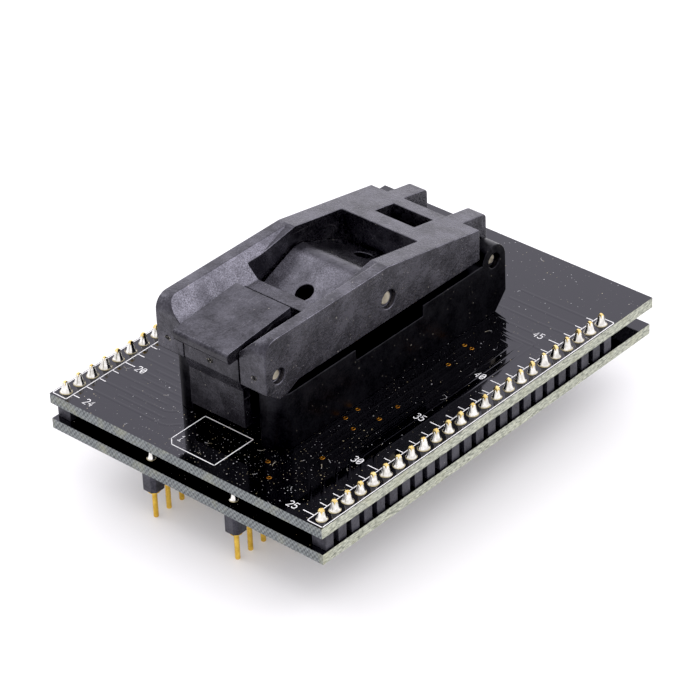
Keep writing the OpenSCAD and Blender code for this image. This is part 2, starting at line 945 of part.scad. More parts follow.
// Torsion spring on the hinge shaft, with one leg under the bridge's back wall and one on the base
module hinge_spring() {
    r = shaft_d / 2 + lug_gap + hinge_wire_d / 2;
    half = lug_out - lug_w - lug_gap - hinge_wire_d;
    steps = 16;
    pocket_z = hinge_z - lug_r - pocket_gap;
    lid_leg = [lid_back - bridge_wall_t / 2 - hinge_y, lid_edge - hinge_wire_d / 2 - running_gap - hinge_z];
    base_leg = [pocket_front + past - hinge_y, pocket_z + hinge_wire_d - hinge_z];
    from = touch_angle(lid_leg, r, -1);
    to = touch_angle(base_leg, r, 1) - full_turn * (hinge_turns + 1);
    count = ceil((from - to) / full_turn * steps);
    coil = [
        for (i = [0 : count])
            [2 * half * i / count - half, 0, 0] + r * around(from + (to - from) * i / count)
    ];
    path = concat([[-half, lid_leg[0], lid_leg[1]]], coil, [[half, base_leg[0], base_leg[1]]]);
    color(steel)
        socket_frame()
            translate([0, hinge_y, hinge_z])
                wire(path, hinge_wire_d, [1, 0, 0]);
}

// Compression spring between the lid's shelf and the finger plate
module latch_spring() {
    steps = 16;
    y = (crossbar_front + shelf_front) / 2 + latch_coil_r / 2;
    low = lid_edge + shelf_t + latch_wire_d / 2 + press_gap;
    high = plate_under(y + latch_coil_r) - latch_wire_d / 2 - running_gap;
    count = latch_turns * steps;
    path = [
        for (i = [0 : count])
            let (turned = full_turn * i / steps)
            [latch_coil_r * cos(turned), latch_coil_r * sin(turned), low + (high - low) * i / count]
    ];
    color(steel)
        socket_frame()
            translate([0, -y, 0])
                wire(path, latch_wire_d, [0, 0, 1]);
}

upper_board();
lower_board();
spacer_strip(left);  // left_spacer_strip
spacer_strip(right);  // right_spacer_strip
link_pins(left);  // left_link_pins
link_pins(right);  // right_link_pins
link_solder(left, deck_z, 0, solder_h);  // left_top_solder
link_solder(right, deck_z, 0, solder_h);  // right_top_solder
link_solder(left, lower_z, 180, small_solder_h);  // left_bottom_solder
link_solder(right, lower_z, 180, small_solder_h);  // right_bottom_solder
plug_strip(left);  // left_plug_strip
plug_strip(right);  // right_plug_strip
plug_pins(left);  // left_plug_pins
plug_pins(right);  // right_plug_pins
plug_solder(left);  // left_plug_solder
plug_solder(right);  // right_plug_solder
socket_base();
contact_block();
contacts(left);  // left_contacts
contacts(right);  // right_contacts
contact_solder(left);  // left_contact_solder
contact_solder(right);  // right_contact_solder
lid();
pusher();
latch();
shaft(hinge_y, hinge_z, shaft_d);  // hinge_shaft
shaft(0, pusher_z, pusher_shaft_d);  // pusher_shaft
shaft(-latch_y, latch_z, shaft_d);  // latch_shaft
hinge_spring();
latch_spring();
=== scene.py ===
"""Looks of a chip programming adapter: a clamshell test socket on two stacked circuit boards with plug pins below."""
import math
import random

import bmesh
import bpy
from mathutils import Matrix, Vector


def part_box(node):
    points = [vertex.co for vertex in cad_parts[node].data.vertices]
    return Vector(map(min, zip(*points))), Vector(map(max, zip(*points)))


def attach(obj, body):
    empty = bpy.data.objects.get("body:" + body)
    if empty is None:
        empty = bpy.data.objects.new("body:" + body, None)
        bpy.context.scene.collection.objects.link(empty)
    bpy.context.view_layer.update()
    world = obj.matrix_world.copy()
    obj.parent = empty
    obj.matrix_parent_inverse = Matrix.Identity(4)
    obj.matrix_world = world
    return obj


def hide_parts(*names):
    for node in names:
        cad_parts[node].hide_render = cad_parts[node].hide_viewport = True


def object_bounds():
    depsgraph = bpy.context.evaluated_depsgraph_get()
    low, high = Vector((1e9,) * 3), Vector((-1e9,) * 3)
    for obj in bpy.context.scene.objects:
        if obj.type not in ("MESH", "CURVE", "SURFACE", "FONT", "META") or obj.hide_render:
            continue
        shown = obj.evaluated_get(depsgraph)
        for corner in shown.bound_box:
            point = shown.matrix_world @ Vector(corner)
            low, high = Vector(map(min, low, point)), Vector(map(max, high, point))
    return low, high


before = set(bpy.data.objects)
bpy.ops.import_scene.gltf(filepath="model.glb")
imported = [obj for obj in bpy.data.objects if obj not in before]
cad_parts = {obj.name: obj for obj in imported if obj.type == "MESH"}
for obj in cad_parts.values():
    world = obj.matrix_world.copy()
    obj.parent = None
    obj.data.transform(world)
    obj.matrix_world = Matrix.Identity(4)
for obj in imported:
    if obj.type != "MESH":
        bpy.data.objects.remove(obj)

cad_low, cad_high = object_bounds()
scene = bpy.context.scene
MM = 0.001

# Camera of the photograph
CAMERA_PLACE = Vector((273.22, -295.5, 280.94)) * MM
CAMERA_AZIMUTH = math.radians(42.871)
CAMERA_ELEVATION = math.radians(33.649)
CAMERA_ROLL = math.radians(-2.527)
CAMERA_LENS = 178.8
CAMERA_SENSOR = 36
CAMERA_NEAR = 0.01

# Levels and pin rows, read from the frame
ROW_PINS = 24
SIDES = {"left": -1, "right": 1}
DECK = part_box("upper_board")[1].z
LOWER_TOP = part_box("lower_board")[1].z
LOWER_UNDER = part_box("lower_board")[0].z
LID_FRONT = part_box("lid")[0].y


def row_place(node):
    """Middle of a row in X, its first pin's Y and its pitch, from the row's box."""
    low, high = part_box(node)
    half = (high.x - low.x) / 2
    pitch = (high.y - low.y - 2 * half) / (ROW_PINS - 1)
    return (low.x + high.x) / 2, low.y + half, pitch


LINK_X, FIRST_PIN, PITCH = row_place("right_link_pins")
PLUG_X = (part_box("right_plug_pins")[0].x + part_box("right_plug_pins")[1].x) / 2


def pin_y(index):
    return FIRST_PIN + index * PITCH


# Node graphs


# Sockets of a Mix node that mixes colours: a factor and two colours in, one colour out
MIX_INPUTS = (0, 6, 7)
MIX_OUTPUT = 2


class Graph:
    """Adds nodes to a tree. An input is a plain value or another node's output."""

    def __init__(self, tree):
        self.tree = tree

    def add(self, kind, inputs=None, **settings):
        node = self.tree.nodes.new(kind)
        for name, value in settings.items():
            setattr(node, name, value)
        for key, value in (inputs or {}).items():
            self.put(node.inputs[key], value)
        return node

    def put(self, socket, value):
        if isinstance(value, bpy.types.NodeSocket):
            self.tree.links.new(value, socket)
        else:
            socket.default_value = value

    def math(self, operation, a, b=0.0, clamp=False):
        node = self.add("ShaderNodeMath", {0: a, 1: b}, operation=operation, use_clamp=clamp)
        return node.outputs[0]

    def ramp(self, value, low, high, to_low=0.0, to_high=1.0):
        inputs = {"Value": value, "From Min": low, "From Max": high, "To Min": to_low, "To Max": to_high}
        return self.add("ShaderNodeMapRange", inputs).outputs["Result"]

    def mix(self, factor, a, b):
        node = self.add("ShaderNodeMix", data_type="RGBA")
        for key, value in zip(MIX_INPUTS, (factor, a, b)):
            self.put(node.inputs[key], value)
        return node.outputs[MIX_OUTPUT]

    def noise(self, vector, scale, detail=2.0, roughness=0.5):
        inputs = {"Vector": vector, "Scale": scale, "Detail": detail, "Roughness": roughness}
        return self.add("ShaderNodeTexNoise", inputs).outputs["Fac"]

    def vector_math(self, operation, a, b):
        return self.add("ShaderNodeVectorMath", {0: a, 1: b}, operation=operation)

    def parts(self, vector):
        return self.add("ShaderNodeSeparateXYZ", {"Vector": vector}).outputs

    def scaled(self, vector, scale):
        node = self.add("ShaderNodeVectorMath", {0: vector}, operation="SCALE")
        self.put(node.inputs["Scale"], scale)
        return node.outputs[0]

    def object_place(self):
        return self.add("ShaderNodeTexCoord").outputs["Object"]

    def facing(self):
        return self.parts(self.add("ShaderNodeTexCoord").outputs["Normal"])

    def stretched(self, vector, scale, turn=(0.0, 0.0, 0.0)):
        return self.add("ShaderNodeMapping", {"Vector": vector, "Scale": scale, "Rotation": turn}).outputs["Vector"]


def shader_group(name, inputs, outputs):
    """A new shader node group with float or vector inputs and float outputs."""
    tree = bpy.data.node_groups.new(name, "ShaderNodeTree")
    for label, kind, value in inputs:
        socket = tree.interface.new_socket(name=label, in_out="INPUT", socket_type=kind)
        if value is not None:
            socket.default_value = value
    for label in outputs:
        tree.interface.new_socket(name=label, in_out="OUTPUT", socket_type="NodeSocketFloat")
    graph = Graph(tree)
    entry = graph.add("NodeGroupInput")
    leave = graph.add("NodeGroupOutput")
    return tree, graph, entry.outputs, leave.inputs


# Patterns in moulded plastic: their scales, and the spans of noise that they show
SPECKLE_SCALE = 3600.0
SPECKLE_SPAN = (0.38, 0.66)
BLOTCH_SCALE = 300.0
BLOTCH_SPAN = (0.36, 0.66)
# Scale of the coarse grain against the speckle, and the share of each in the grain's height
COARSE_SCALE = 0.55
SPECKLE_HEIGHT, COARSE_HEIGHT = 0.55, 0.45


def filler_tone(g, place, speckle_scale, blotch_scale):
    """Fine speckle of the glass filler, as noise and as a mask, and slow blotches of the moulding."""
    speckle = g.noise(place, speckle_scale, 3.0, 0.7)
    blotch = g.noise(place, blotch_scale, 5.0, 0.65)
    return speckle, g.ramp(speckle, *SPECKLE_SPAN), g.ramp(blotch, *BLOTCH_SPAN)


def moulding_group():
    """Speckle of the glass filler, slow blotches and a grainy height for moulded plastic."""
    tree, g, given, out = shader_group(
        "moulding_grain",
        [("Vector", "NodeSocketVector", None), ("Speckle", "NodeSocketFloat", SPECKLE_SCALE),
         ("Blotch", "NodeSocketFloat", BLOTCH_SCALE)],
        ["Speckle", "Blotch", "Height"],
    )
    speckle, fine, slow = filler_tone(g, given["Vector"], given["Speckle"], given["Blotch"])
    g.put(out["Speckle"], fine)
    g.put(out["Blotch"], slow)
    coarse = g.noise(given["Vector"], g.math("MULTIPLY", given["Speckle"], COARSE_SCALE), 1.0)
    fine_height = g.math("MULTIPLY", speckle, SPECKLE_HEIGHT)
    g.put(out["Height"], g.math("ADD", fine_height, g.math("MULTIPLY", coarse, COARSE_HEIGHT)))
    return tree


# Specks of dust: the noise that bends them out of round, their least size, their hard core and their faintest tone
SPECK_NOISE_SCALE = 2400.0
SPECK_BEND = 0.3 * MM
SPECK_LEAST_SIZE = 0.25
SPECK_CORE = 0.6
SPECK_FAINTEST = 0.2


def dust_group(name, dimensions):
    """Scattered specks: a cell of the pattern holds a speck if its own random value is low enough."""
    tree, g, given, out = shader_group(
        name,
        [("Vector", "NodeSocketVector", None), ("Scale", "NodeSocketFloat", 900.0),
         ("Share", "NodeSocketFloat", 0.2), ("Size", "NodeSocketFloat", 0.1)],
        ["Mask"],
    )
    shaken = g.add("ShaderNodeTexNoise", {"Vector": given["Vector"], "Scale": SPECK_NOISE_SCALE, "Detail": 1.0})
    bent = g.scaled(shaken.outputs["Color"], SPECK_BEND)
    place = g.vector_math("ADD", given["Vector"], bent).outputs[0]
    cells = g.add(
        "ShaderNodeTexVoronoi", {"Vector": place, "Scale": given["Scale"]}, voronoi_dimensions=dimensions
    )
    pick = g.add("ShaderNodeSeparateColor", {"Color": cells.outputs["Color"]}).outputs
    chosen = g.math("LESS_THAN", pick["Red"], given["Share"])
    size = g.math("ADD", g.math("MULTIPLY", pick["Green"], pick["Green"]), SPECK_LEAST_SIZE)
    reach = g.math("MULTIPLY", given["Size"], size)
    near = g.ramp(cells.outputs["Distance"], reach, g.math("MULTIPLY", reach, SPECK_CORE))
    faint = g.ramp(pick["Blue"], 0.0, 1.0, SPECK_FAINTEST, 1.0)
    g.put(out["Mask"], g.math("MULTIPLY", g.math("MULTIPLY", chosen, faint), near, True))
    return tree


# Fibres of lint: half their width, their curve per metre at the most, and the least share of the full length
FIBRE_HALF_WIDTH = 0.03 * MM
FIBRE_CURVE = 1600.0
FIBRE_LEAST = 0.35


def lint_group():
    """Short curved fibres lying flat: in some cells of the pattern an arc is drawn at a random turn."""
    tree, g, given, out = shader_group(
        "lint_fibres",
        [("Vector", "NodeSocketVector", None), ("Scale", "NodeSocketFloat", 330.0),
         ("Share", "NodeSocketFloat", 0.2), ("Length", "NodeSocketFloat", 0.0005)],
        ["Mask"],
    )
    flat = g.vector_math("MULTIPLY", given["Vector"], (1.0, 1.0, 0.0)).outputs[0]
    cells = g.add("ShaderNodeTexVoronoi", {"Vector": flat, "Scale": given["Scale"]}, voronoi_dimensions="2D")
    pick = g.add("ShaderNodeSeparateColor", {"Color": cells.outputs["Color"]}).outputs
    away = g.parts(g.vector_math("SUBTRACT", flat, cells.outputs["Position"]).outputs[0])
    turn = g.math("MULTIPLY", pick["Green"], math.tau)
    cosine, sine = g.math("COSINE", turn), g.math("SINE", turn)
    along = g.math("ADD", g.math("MULTIPLY", away["X"], cosine), g.math("MULTIPLY", away["Y"], sine))
    beside = g.math("SUBTRACT", g.math("MULTIPLY", away["Y"], cosine), g.math("MULTIPLY", away["X"], sine))
    curve = g.ramp(pick["Blue"], 0.0, 1.0, -FIBRE_CURVE, FIBRE_CURVE)
    bend = g.math("MULTIPLY", g.math("MULTIPLY", along, along), curve)
    thin = g.math("LESS_THAN", g.math("ABSOLUTE", g.math("SUBTRACT", beside, bend)), FIBRE_HALF_WIDTH)
    reach = g.math("MULTIPLY", given["Length"], g.math("ADD", pick["Blue"], FIBRE_LEAST))
    short = g.math("LESS_THAN", g.math("ABSOLUTE", along), reach)
    chosen = g.math("LESS_THAN", pick["Red"], given["Share"])
    g.put(out["Mask"], g.math("MULTIPLY", g.math("MULTIPLY", thin, short), chosen))
    return tree


# Hair-line scratches: the turns of their two patterns, the stretch of the noise and the span of it that shows,
# and the patches in which they lie, whose scale changes with the turn
SCRATCH_TURNS = (0.35, -0.75)
SCRATCH_STRETCH = (2200.0, 90.0, 300.0)
SCRATCH_WIDTH = 0.012
SCRATCH_PATCH_SCALE, SCRATCH_PATCH_CHANGE = 180.0, 60.0
SCRATCH_PATCH_SPAN = (0.55, 0.7)


def scratch_group():
    """Thin hair-line scratches, from two stretched patterns at different turns."""
    tree, g, given, out = shader_group(
        "hair_scratches", [("Vector", "NodeSocketVector", None), ("Scale", "NodeSocketFloat", 1.0)], ["Mask"]
    )
    masks = []
    for turn in SCRATCH_TURNS:
        along = g.stretched(g.scaled(given["Vector"], given["Scale"]), SCRATCH_STRETCH, (0.0, 0.0, turn))
        line = g.noise(along, 1.0, 1.0, 0.4)
        edge = g.math("ABSOLUTE", g.math("SUBTRACT", line, 0.5))
        thin = g.ramp(edge, SCRATCH_WIDTH, 0.0)
        scattered = g.noise(given["Vector"], SCRATCH_PATCH_SCALE + SCRATCH_PATCH_CHANGE * turn, 2.0)
        masks.append(g.math("MULTIPLY", thin, g.ramp(scattered, *SCRATCH_PATCH_SPAN)))
    g.put(out["Mask"], g.math("MAXIMUM", *masks, True))
    return tree


MOULDING = moulding_group()
DUST = dust_group("dust_specks", "3D")
DECK_DUST = dust_group("deck_specks", "2D")
LINT = lint_group()
SCRATCHES = scratch_group()


def new_material(name):
    """A material with a Principled shader; returns it with its graph and shader."""
    material = bpy.data.materials.new(name)
    material.use_nodes = True
    material.node_tree.nodes.clear()
    graph = Graph(material.node_tree)
    shader = graph.add("ShaderNodeBsdfPrincipled")
    graph.add("ShaderNodeOutputMaterial", {"Surface": shader.outputs["BSDF"]})
    return material, graph, shader


def use_group(graph, tree, inputs):
    node = graph.add("ShaderNodeGroup", node_tree=tree)
    for key, value in inputs.items():
        graph.put(node.inputs[key], value)
    return node.outputs


def bump(graph, height, strength, distance):
    inputs = {"Height": height, "Strength": strength, "Distance": distance}
    return graph.add("ShaderNodeBump", inputs).outputs["Normal"]


# Tint of the studio's sheen on plastic and on solder mask
COOL_TINT = (0.84, 0.82, 1.0, 1)
# Tones that lie over moulded plastic: a painted glint, and the tones of rubbed wear, scuffs and dust
GLINT_TONE = (0.40, 0.39, 0.46, 1)
RUBBED_TONE = (0.33, 0.32, 0.36, 1)
SCUFF_TONE = (0.24, 0.23, 0.25, 1)
DUST_TONE = (0.44, 0.41, 0.35, 1)
# How much of those tones shows at the most
RUBBED_SHARE = 0.10
SCUFF_SHARE = 0.22
DUST_STRENGTH = 0.5
# Share of speckle and of blotches in a moulding's tone
FINE_TONE, SLOW_TONE = 0.4, 0.6


def blend(g, fine, slow):
    """Tone of a moulding from its fine speckle and its slow blotches."""
    return g.math("ADD", g.math("MULTIPLY", fine, FINE_TONE), g.math("MULTIPLY", slow, SLOW_TONE))


def wear_and_painted_glint_colour(g, place, facing, flatness, colour, slope_glint_share):
    """A moulding's colour with painted glints, a lighter glint tone in patches on its side facets and, by a given
    share, on its front slope, and with rubbed wear and scuffs.
    """
    # Painted highlight: the side facets and the front slope take the glint tone in sparkling patches
    facet = g.ramp(g.math("MULTIPLY", g.math("ABSOLUTE", facing["X"]), facing["Z"]), 0.35, 0.45)
    slope = g.math("MULTIPLY", g.ramp(facing["Y"], -0.15, -0.33), g.ramp(facing["Z"], 0.6, 0.8, 0.0, slope_glint_share))
    glint_faces = g.math("MAXIMUM", facet, slope)
    sparkle = g.ramp(g.noise(place, 5600.0, 2.0, 0.6), 0.36, 0.68, 0.10, 0.64)
    patches = g.ramp(g.noise(place, 330.0, 3.0), 0.38, 0.62, 0.45, 1.25)
    glints = g.math("MULTIPLY", g.math("MULTIPLY", glint_faces, sparkle), patches)
    colour = g.mix(glints, colour, GLINT_TONE)
    rubbed = g.ramp(g.noise(place, 240.0, 7.0, 0.74), 0.50, 0.70, 0.0, RUBBED_SHARE)
    colour = g.mix(g.math("MULTIPLY", rubbed, flatness), colour, RUBBED_TONE)
    scuffs = use_group(g, SCRATCHES, {"Vector": place})["Mask"]
    return g.mix(g.math("MULTIPLY", scuffs, SCUFF_SHARE), colour, SCUFF_TONE)


def moulded_plastic(
    name, dark, light, rough, grain, dust_share, shine=1.6, level=0.5, painted_glints_and_wear=False, slope_glint_share=0.0, upright=1.0
):
    """Glass-filled moulded plastic: grainy, speckled, blotched and a little dusty.

    Shine is its index of refraction and level the strength of its sheen, of which upright faces keep the given share as
    painted shade on the sides.
    """
    material, g, shader = new_material(name)
    place = g.object_place()
    filler = use_group(g, MOULDING, {"Vector": place})
    tone = blend(g, filler["Speckle"], filler["Blotch"])
    colour = g.mix(tone, (*dark, 1), (*light, 1))
    facing = g.facing()
    # Painted shade: upright faces keep only the given share of the sheen and of the rubbed tone
    flatness = g.ramp(g.math("ABSOLUTE", facing["Z"]), 0.3, 0.7, upright, 1.0)
    # Painted glints on facets and slopes, with rubbed wear and scuffs
    if painted_glints_and_wear:
        colour = wear_and_painted_glint_colour(g, place, facing, flatness, colour, slope_glint_share)
    dust = use_group(g, DUST, {"Vector": place, "Scale": 1500.0, "Share": dust_share, "Size": 0.16})["Mask"]
    g.put(shader.inputs["Base Color"], g.mix(g.math("MULTIPLY", dust, DUST_STRENGTH), colour, DUST_TONE))
    g.put(shader.inputs["Roughness"], g.ramp(tone, 0.0, 1.0, rough * 0.85, rough * 1.2))
    _, fine, slow = filler_tone(g, place, SPECKLE_SCALE, BLOTCH_SCALE)
    sheen = g.ramp(blend(g, fine, slow), 0.15, 0.85, level * 0.5, level * 1.4)
    g.put(shader.inputs["Specular IOR Level"], g.math("MULTIPLY", sheen, flatness))
    shader.inputs["IOR"].default_value = shine
    shader.inputs["Specular Tint"].default_value = COOL_TINT
    g.put(shader.inputs["Normal"], bump(g, filler["Height"], 1.0, grain))
    return material


def torn_plastic(name):
    """Broken plastic: nearly black with pale bits."""
    material, g, shader = new_material(name)
    place = g.object_place()
    bits = g.noise(place, 4200.0, 2.0, 0.6)
    dark, pale = (0.002, 0.002, 0.002, 1), (0.34, 0.32, 0.28, 1)
    g.put(shader.inputs["Base Color"], g.mix(g.ramp(bits, 0.55, 0.62), dark, pale))
    g.put(shader.inputs["Roughness"], g.ramp(bits, 0.3, 0.7, 0.5, 0.7))
    shader.inputs["Specular IOR Level"].default_value = 0.2
    g.put(shader.inputs["Normal"], bump(g, bits, 1.0, 0.12 * MM))
    return material


MASK_BLACK = (0.0016, 0.0016, 0.0019, 1)
GREY_BITS = (0.62, 0.62, 0.64, 1)
OCHRE_BITS = (0.50, 0.43, 0.26, 1)
# Dust lies thickest round this place in front of the socket: the span over which it thins out, its share at both
# ends of that span, and what is left of it on the sheltered lower board
DUST_HEAP = (5 * MM, -28 * MM, DECK)
DUST_HEAP_SPAN = (4 * MM, 20 * MM)
DUST_HEAP_SHARE = (0.75, 0.18)
SHELTERED_SHARE = 0.3
# Sheen of the mask, and the strength and height of its bumps
MASK_LEVEL = 0.44
MASK_BUMP = (0.04, 0.03 * MM)


def mask_surface(g, place):
    """Colour, roughness and height of the glossy black mask with its dust and lint."""
    gathered = g.vector_math("DISTANCE", place, DUST_HEAP).outputs["Value"]
    sheltered = g.ramp(g.parts(place)["Z"], LOWER_TOP, DECK, SHELTERED_SHARE, 1.0)
    share = g.math("MULTIPLY", g.ramp(gathered, *DUST_HEAP_SPAN, *DUST_HEAP_SHARE), sheltered)
    dust = use_group(g, DECK_DUST, {"Vector": place, "Scale": 1700.0, "Share": share, "Size": 0.14})["Mask"]
    lint = use_group(g, LINT, {"Vector": place, "Share": g.math("MULTIPLY", share, 0.7)})["Mask"]
    litter = g.math("MAXIMUM", dust, g.math("MULTIPLY", lint, 0.8))
    bits = g.mix(g.ramp(g.noise(place, 700.0, 1.0), 0.45, 0.6), GREY_BITS, OCHRE_BITS)
    colour = g.mix(g.math("MULTIPLY", litter, 0.85), MASK_BLACK, bits)
    smear = g.ramp(g.noise(place, 320.0, 3.0), 0.3, 0.8, 0.035, 0.10)
    roughness = g.math("ADD", smear, g.math("MULTIPLY", litter, 0.5))
    height = g.math("ADD", g.noise(place, 480.0, 2.0), g.math("MULTIPLY", litter, 0.5))
    return colour, roughness, height


def solder_mask(name):
    """Glossy black mask without bare edges, for the ridges over the copper."""
    material, g, shader = new_material(name)
    colour, roughness, height = mask_surface(g, g.object_place())
    g.put(shader.inputs["Base Color"], colour)
    g.put(shader.inputs["Roughness"], roughness)
    shader.inputs["Specular IOR Level"].default_value = MASK_LEVEL
    shader.inputs["Specular Tint"].default_value = COOL_TINT
    g.put(shader.inputs["Normal"], bump(g, height, *MASK_BUMP))
    return material


# Pitch of the glass cloth's bundles and thickness of one layer of it
CLOTH_PITCH = 0.66 * MM
CLOTH_LAYER = 0.4 * MM
# Stretches of the bundles and of the strands in them, and the dark and pale tones of the cut edges: the sides, which
# face along X, show broken bundles, and the ends, which face along Y, show the cloth's weave in darker tones
BUNDLE_STRETCH = (1100.0, 1100.0, 4200.0)
STRAND_STRETCH = (1900.0, 1900.0, 7000.0)
SIDE_EDGE_TONES = (0.07, 0.08, 0.06, 1), (0.64, 0.66, 0.53, 1)
END_EDGE_TONES = (0.012, 0.017, 0.018, 1), (0.28, 0.305, 0.30, 1)
RESIN_TONE = (0.36, 0.36, 0.22, 1)
# Height of the cut strands against the mask's bumps
CUT_HEIGHT = 14.0


def board_laminate(name):
    """Glossy black mask on the boards' faces, bare glass-epoxy laminate with cut strands on their edges."""
    material, g, shader = new_material(name)
    place = g.object_place()
    colour, roughness, height = mask_surface(g, place)
    facing = g.facing()
    face = g.ramp(g.math("ABSOLUTE", facing["Z"]), 0.6, 0.8)
    end = g.ramp(g.math("ABSOLUTE", facing["Y"]), 0.6, 0.8)
    bundled = {"Vector": g.stretched(place, BUNDLE_STRETCH), "Scale": 1.0, "Randomness": 0.9}
    bundles = g.add("ShaderNodeTexVoronoi", bundled).outputs["Distance"]
    strands = g.noise(g.stretched(place, STRAND_STRETCH), 1.0, 4.0, 0.8)
    patches = g.noise(place, 420.0, 3.0, 0.6)
    torn = g.math("ADD", g.ramp(bundles, 0.15, 0.75, 0.5, 0.0), g.ramp(strands, 0.36, 0.66, 0.0, 0.6))
    broken = g.mix(torn, *SIDE_EDGE_TONES)
    layer = g.math("MULTIPLY", g.parts(place)["Z"], math.pi / CLOTH_LAYER)
    bent = g.math("MULTIPLY", g.noise(place, 700.0, 3.0), 7.0)
    along = g.math("ADD", g.math("MULTIPLY", g.parts(place)["X"], math.tau / CLOTH_PITCH), bent)
    crossed = g.math("MULTIPLY", g.math("SINE", along), g.math("SINE", g.math("ADD", layer, bent)))
    cloth = g.math("ADD", g.ramp(crossed, -0.5, 0.5, 0.0, 0.5), g.ramp(strands, 0.36, 0.66, 0.0, 0.5))
    sawn = g.mix(cloth, *END_EDGE_TONES)
    laminate = g.mix(end, broken, sawn)
    laminate = g.mix(g.ramp(patches, 0.52, 0.75, 0.0, 0.4), laminate, RESIN_TONE)
    g.put(shader.inputs["Base Color"], g.mix(face, laminate, colour))
    g.put(shader.inputs["Roughness"], g.math("ADD", roughness, g.ramp(face, 0.0, 1.0, 0.5, 0.0)))
    shader.inputs["Specular IOR Level"].default_value = MASK_LEVEL
    shader.inputs["Specular Tint"].default_value = COOL_TINT
    rough_cut = g.math("MULTIPLY", g.math("SUBTRACT", 1.0, face), g.math("MULTIPLY", strands, CUT_HEIGHT))
    g.put(shader.inputs["Normal"], bump(g, g.math("ADD", height, rough_cut), *MASK_BUMP))
    return material


# Span of noise that shows as mottle on metal
MOTTLE_SPAN = (0.35, 0.65)


def plain_metal(name, dark, light, rough):
    """Metal with a faint mottle in colour and roughness."""
    material, g, shader = new_material(name)
    mottle = g.noise(g.object_place(), 900.0, 3.0, 0.6)
    g.put(shader.inputs["Base Color"], g.mix(g.ramp(mottle, *MOTTLE_SPAN), (*dark, 1), (*light, 1)))
    shader.inputs["Metallic"].default_value = 1.0
    g.put(shader.inputs["Roughness"], g.ramp(mottle, 0.3, 0.7, rough * 0.7, rough * 1.4))
    return material


SOLDER_TONES = (0.52, 0.51, 0.47, 1), (0.84, 0.83, 0.79, 1)
FLUX_TONE = (0.36, 0.29, 0.10, 1)
# Heights over the board between which the flux thins out, how uneven they are, and the flux's strength at the foot
FLUX_SPAN = (0.04 * MM, 0.18 * MM)
FLUX_UNEVEN = 0.22 * MM
FLUX_STRENGTH = 0.85


def fluxed_solder(name, foot):
    """Bright solder with a yellowish film of flux where it meets the board at height foot."""
    material, g, shader = new_material(name)
    place = g.object_place()
    mottle = g.noise(place, 1500.0, 3.0, 0.6)
    metal = g.mix(g.ramp(mottle, *MOTTLE_SPAN), *SOLDER_TONES)
    uneven = g.math("MULTIPLY", g.math("SUBTRACT", g.noise(place, 1300.0, 2.0), 0.5), FLUX_UNEVEN)
    above = g.math("ADD", g.math("SUBTRACT", g.parts(place)["Z"], foot), uneven)
    flux = g.ramp(above, *FLUX_SPAN, FLUX_STRENGTH, 0.0)
    g.put(shader.inputs["Base Color"], g.mix(flux, metal, FLUX_TONE))
    g.put(shader.inputs["Metallic"], g.math("SUBTRACT", 1.0, flux))
    bare = g.ramp(mottle, 0.3, 0.7, 0.06, 0.17)
    g.put(shader.inputs["Roughness"], g.math("ADD", bare, g.math("MULTIPLY", flux, 0.1)))
    return material


def silk_ink(name):
    """White printing ink, a little thin in places."""
    material, g, shader = new_material(name)
    thin = g.noise(g.object_place(), 3500.0, 2.0)
    weak, full = (0.80, 0.80, 0.83, 1), (0.95, 0.95, 0.95, 1)
    g.put(shader.inputs["Base Color"], g.mix(g.ramp(thin, 0.3, 0.55), weak, full))
    g.put(shader.inputs["Roughness"], g.ramp(thin, 0.3, 0.7, 0.45, 0.65))
    return material


def paper_floor(name):
    """Pale, faintly glossy floor."""
    material, g, shader = new_material(name)
    tone = g.noise(g.object_place(), 30.0, 2.0)
    g.put(shader.inputs["Base Color"], g.mix(tone, (0.72, 0.72, 0.72, 1), (0.74, 0.74, 0.74, 1)))
    shader.inputs["Roughness"].default_value = 0.35
    shader.inputs["Emission Color"].default_value = (1.0, 0.985, 1.0, 1)
    shader.inputs["Emission Strength"].default_value = 0.2
    return material


CHARCOAL = (0.0024, 0.0023, 0.0028)
LIGHT_CHARCOAL = (0.012, 0.0114, 0.0135)
LID_PLASTIC = moulded_plastic(
    "lid_plastic", CHARCOAL, LIGHT_CHARCOAL, rough=0.26, grain=0.08 * MM, dust_share=0.25,
    shine=1.66, level=0.52, painted_glints_and_wear=True, upright=0.84,
)
PUSHER_PLASTIC = moulded_plastic(
    "pusher_plastic", CHARCOAL, LIGHT_CHARCOAL, rough=0.20, grain=0.05 * MM, dust_share=0.25,
    shine=1.66, level=0.46, painted_glints_and_wear=True, slope_glint_share=0.4, upright=0.7,
)
LATCH_PLASTIC = moulded_plastic(
    "latch_plastic", CHARCOAL, (0.013, 0.0124, 0.0146), rough=0.24, grain=0.06 * MM, dust_share=0.25,
    shine=1.62, level=0.50, painted_glints_and_wear=True, upright=0.5,
)
GATE_SCAR = torn_plastic("gate_scar")
BASE_PLASTIC = moulded_plastic(
    "base_plastic", (0.0005, 0.0005, 0.0006), (0.0016, 0.0016, 0.0018), rough=0.33, grain=0.012 * MM, dust_share=0.14,
    shine=1.5, level=0.27, upright=0.8,
)
STRIP_PLASTIC = moulded_plastic(
    "strip_plastic", (0.008, 0.008, 0.010), (0.024, 0.024, 0.029), rough=0.44, grain=0.04 * MM, dust_share=0.1
)
BOARD = board_laminate("board_laminate")
MASK = solder_mask("solder_mask")
GOLD = plain_metal("gold_plating", (0.68, 0.41, 0.052), (0.95, 0.65, 0.12), 0.17)
TINNED_GOLD = plain_metal("tinned_gold", (0.66, 0.47, 0.15), (0.90, 0.73, 0.34), 0.22)
DECK_SOLDER = fluxed_solder("deck_solder", DECK)
PLUG_SOLDER = fluxed_solder("plug_row_solder", LOWER_TOP)
SOLDER = plain_metal("bright_solder", (0.62, 0.61, 0.56), (0.90, 0.89, 0.84), 0.16)
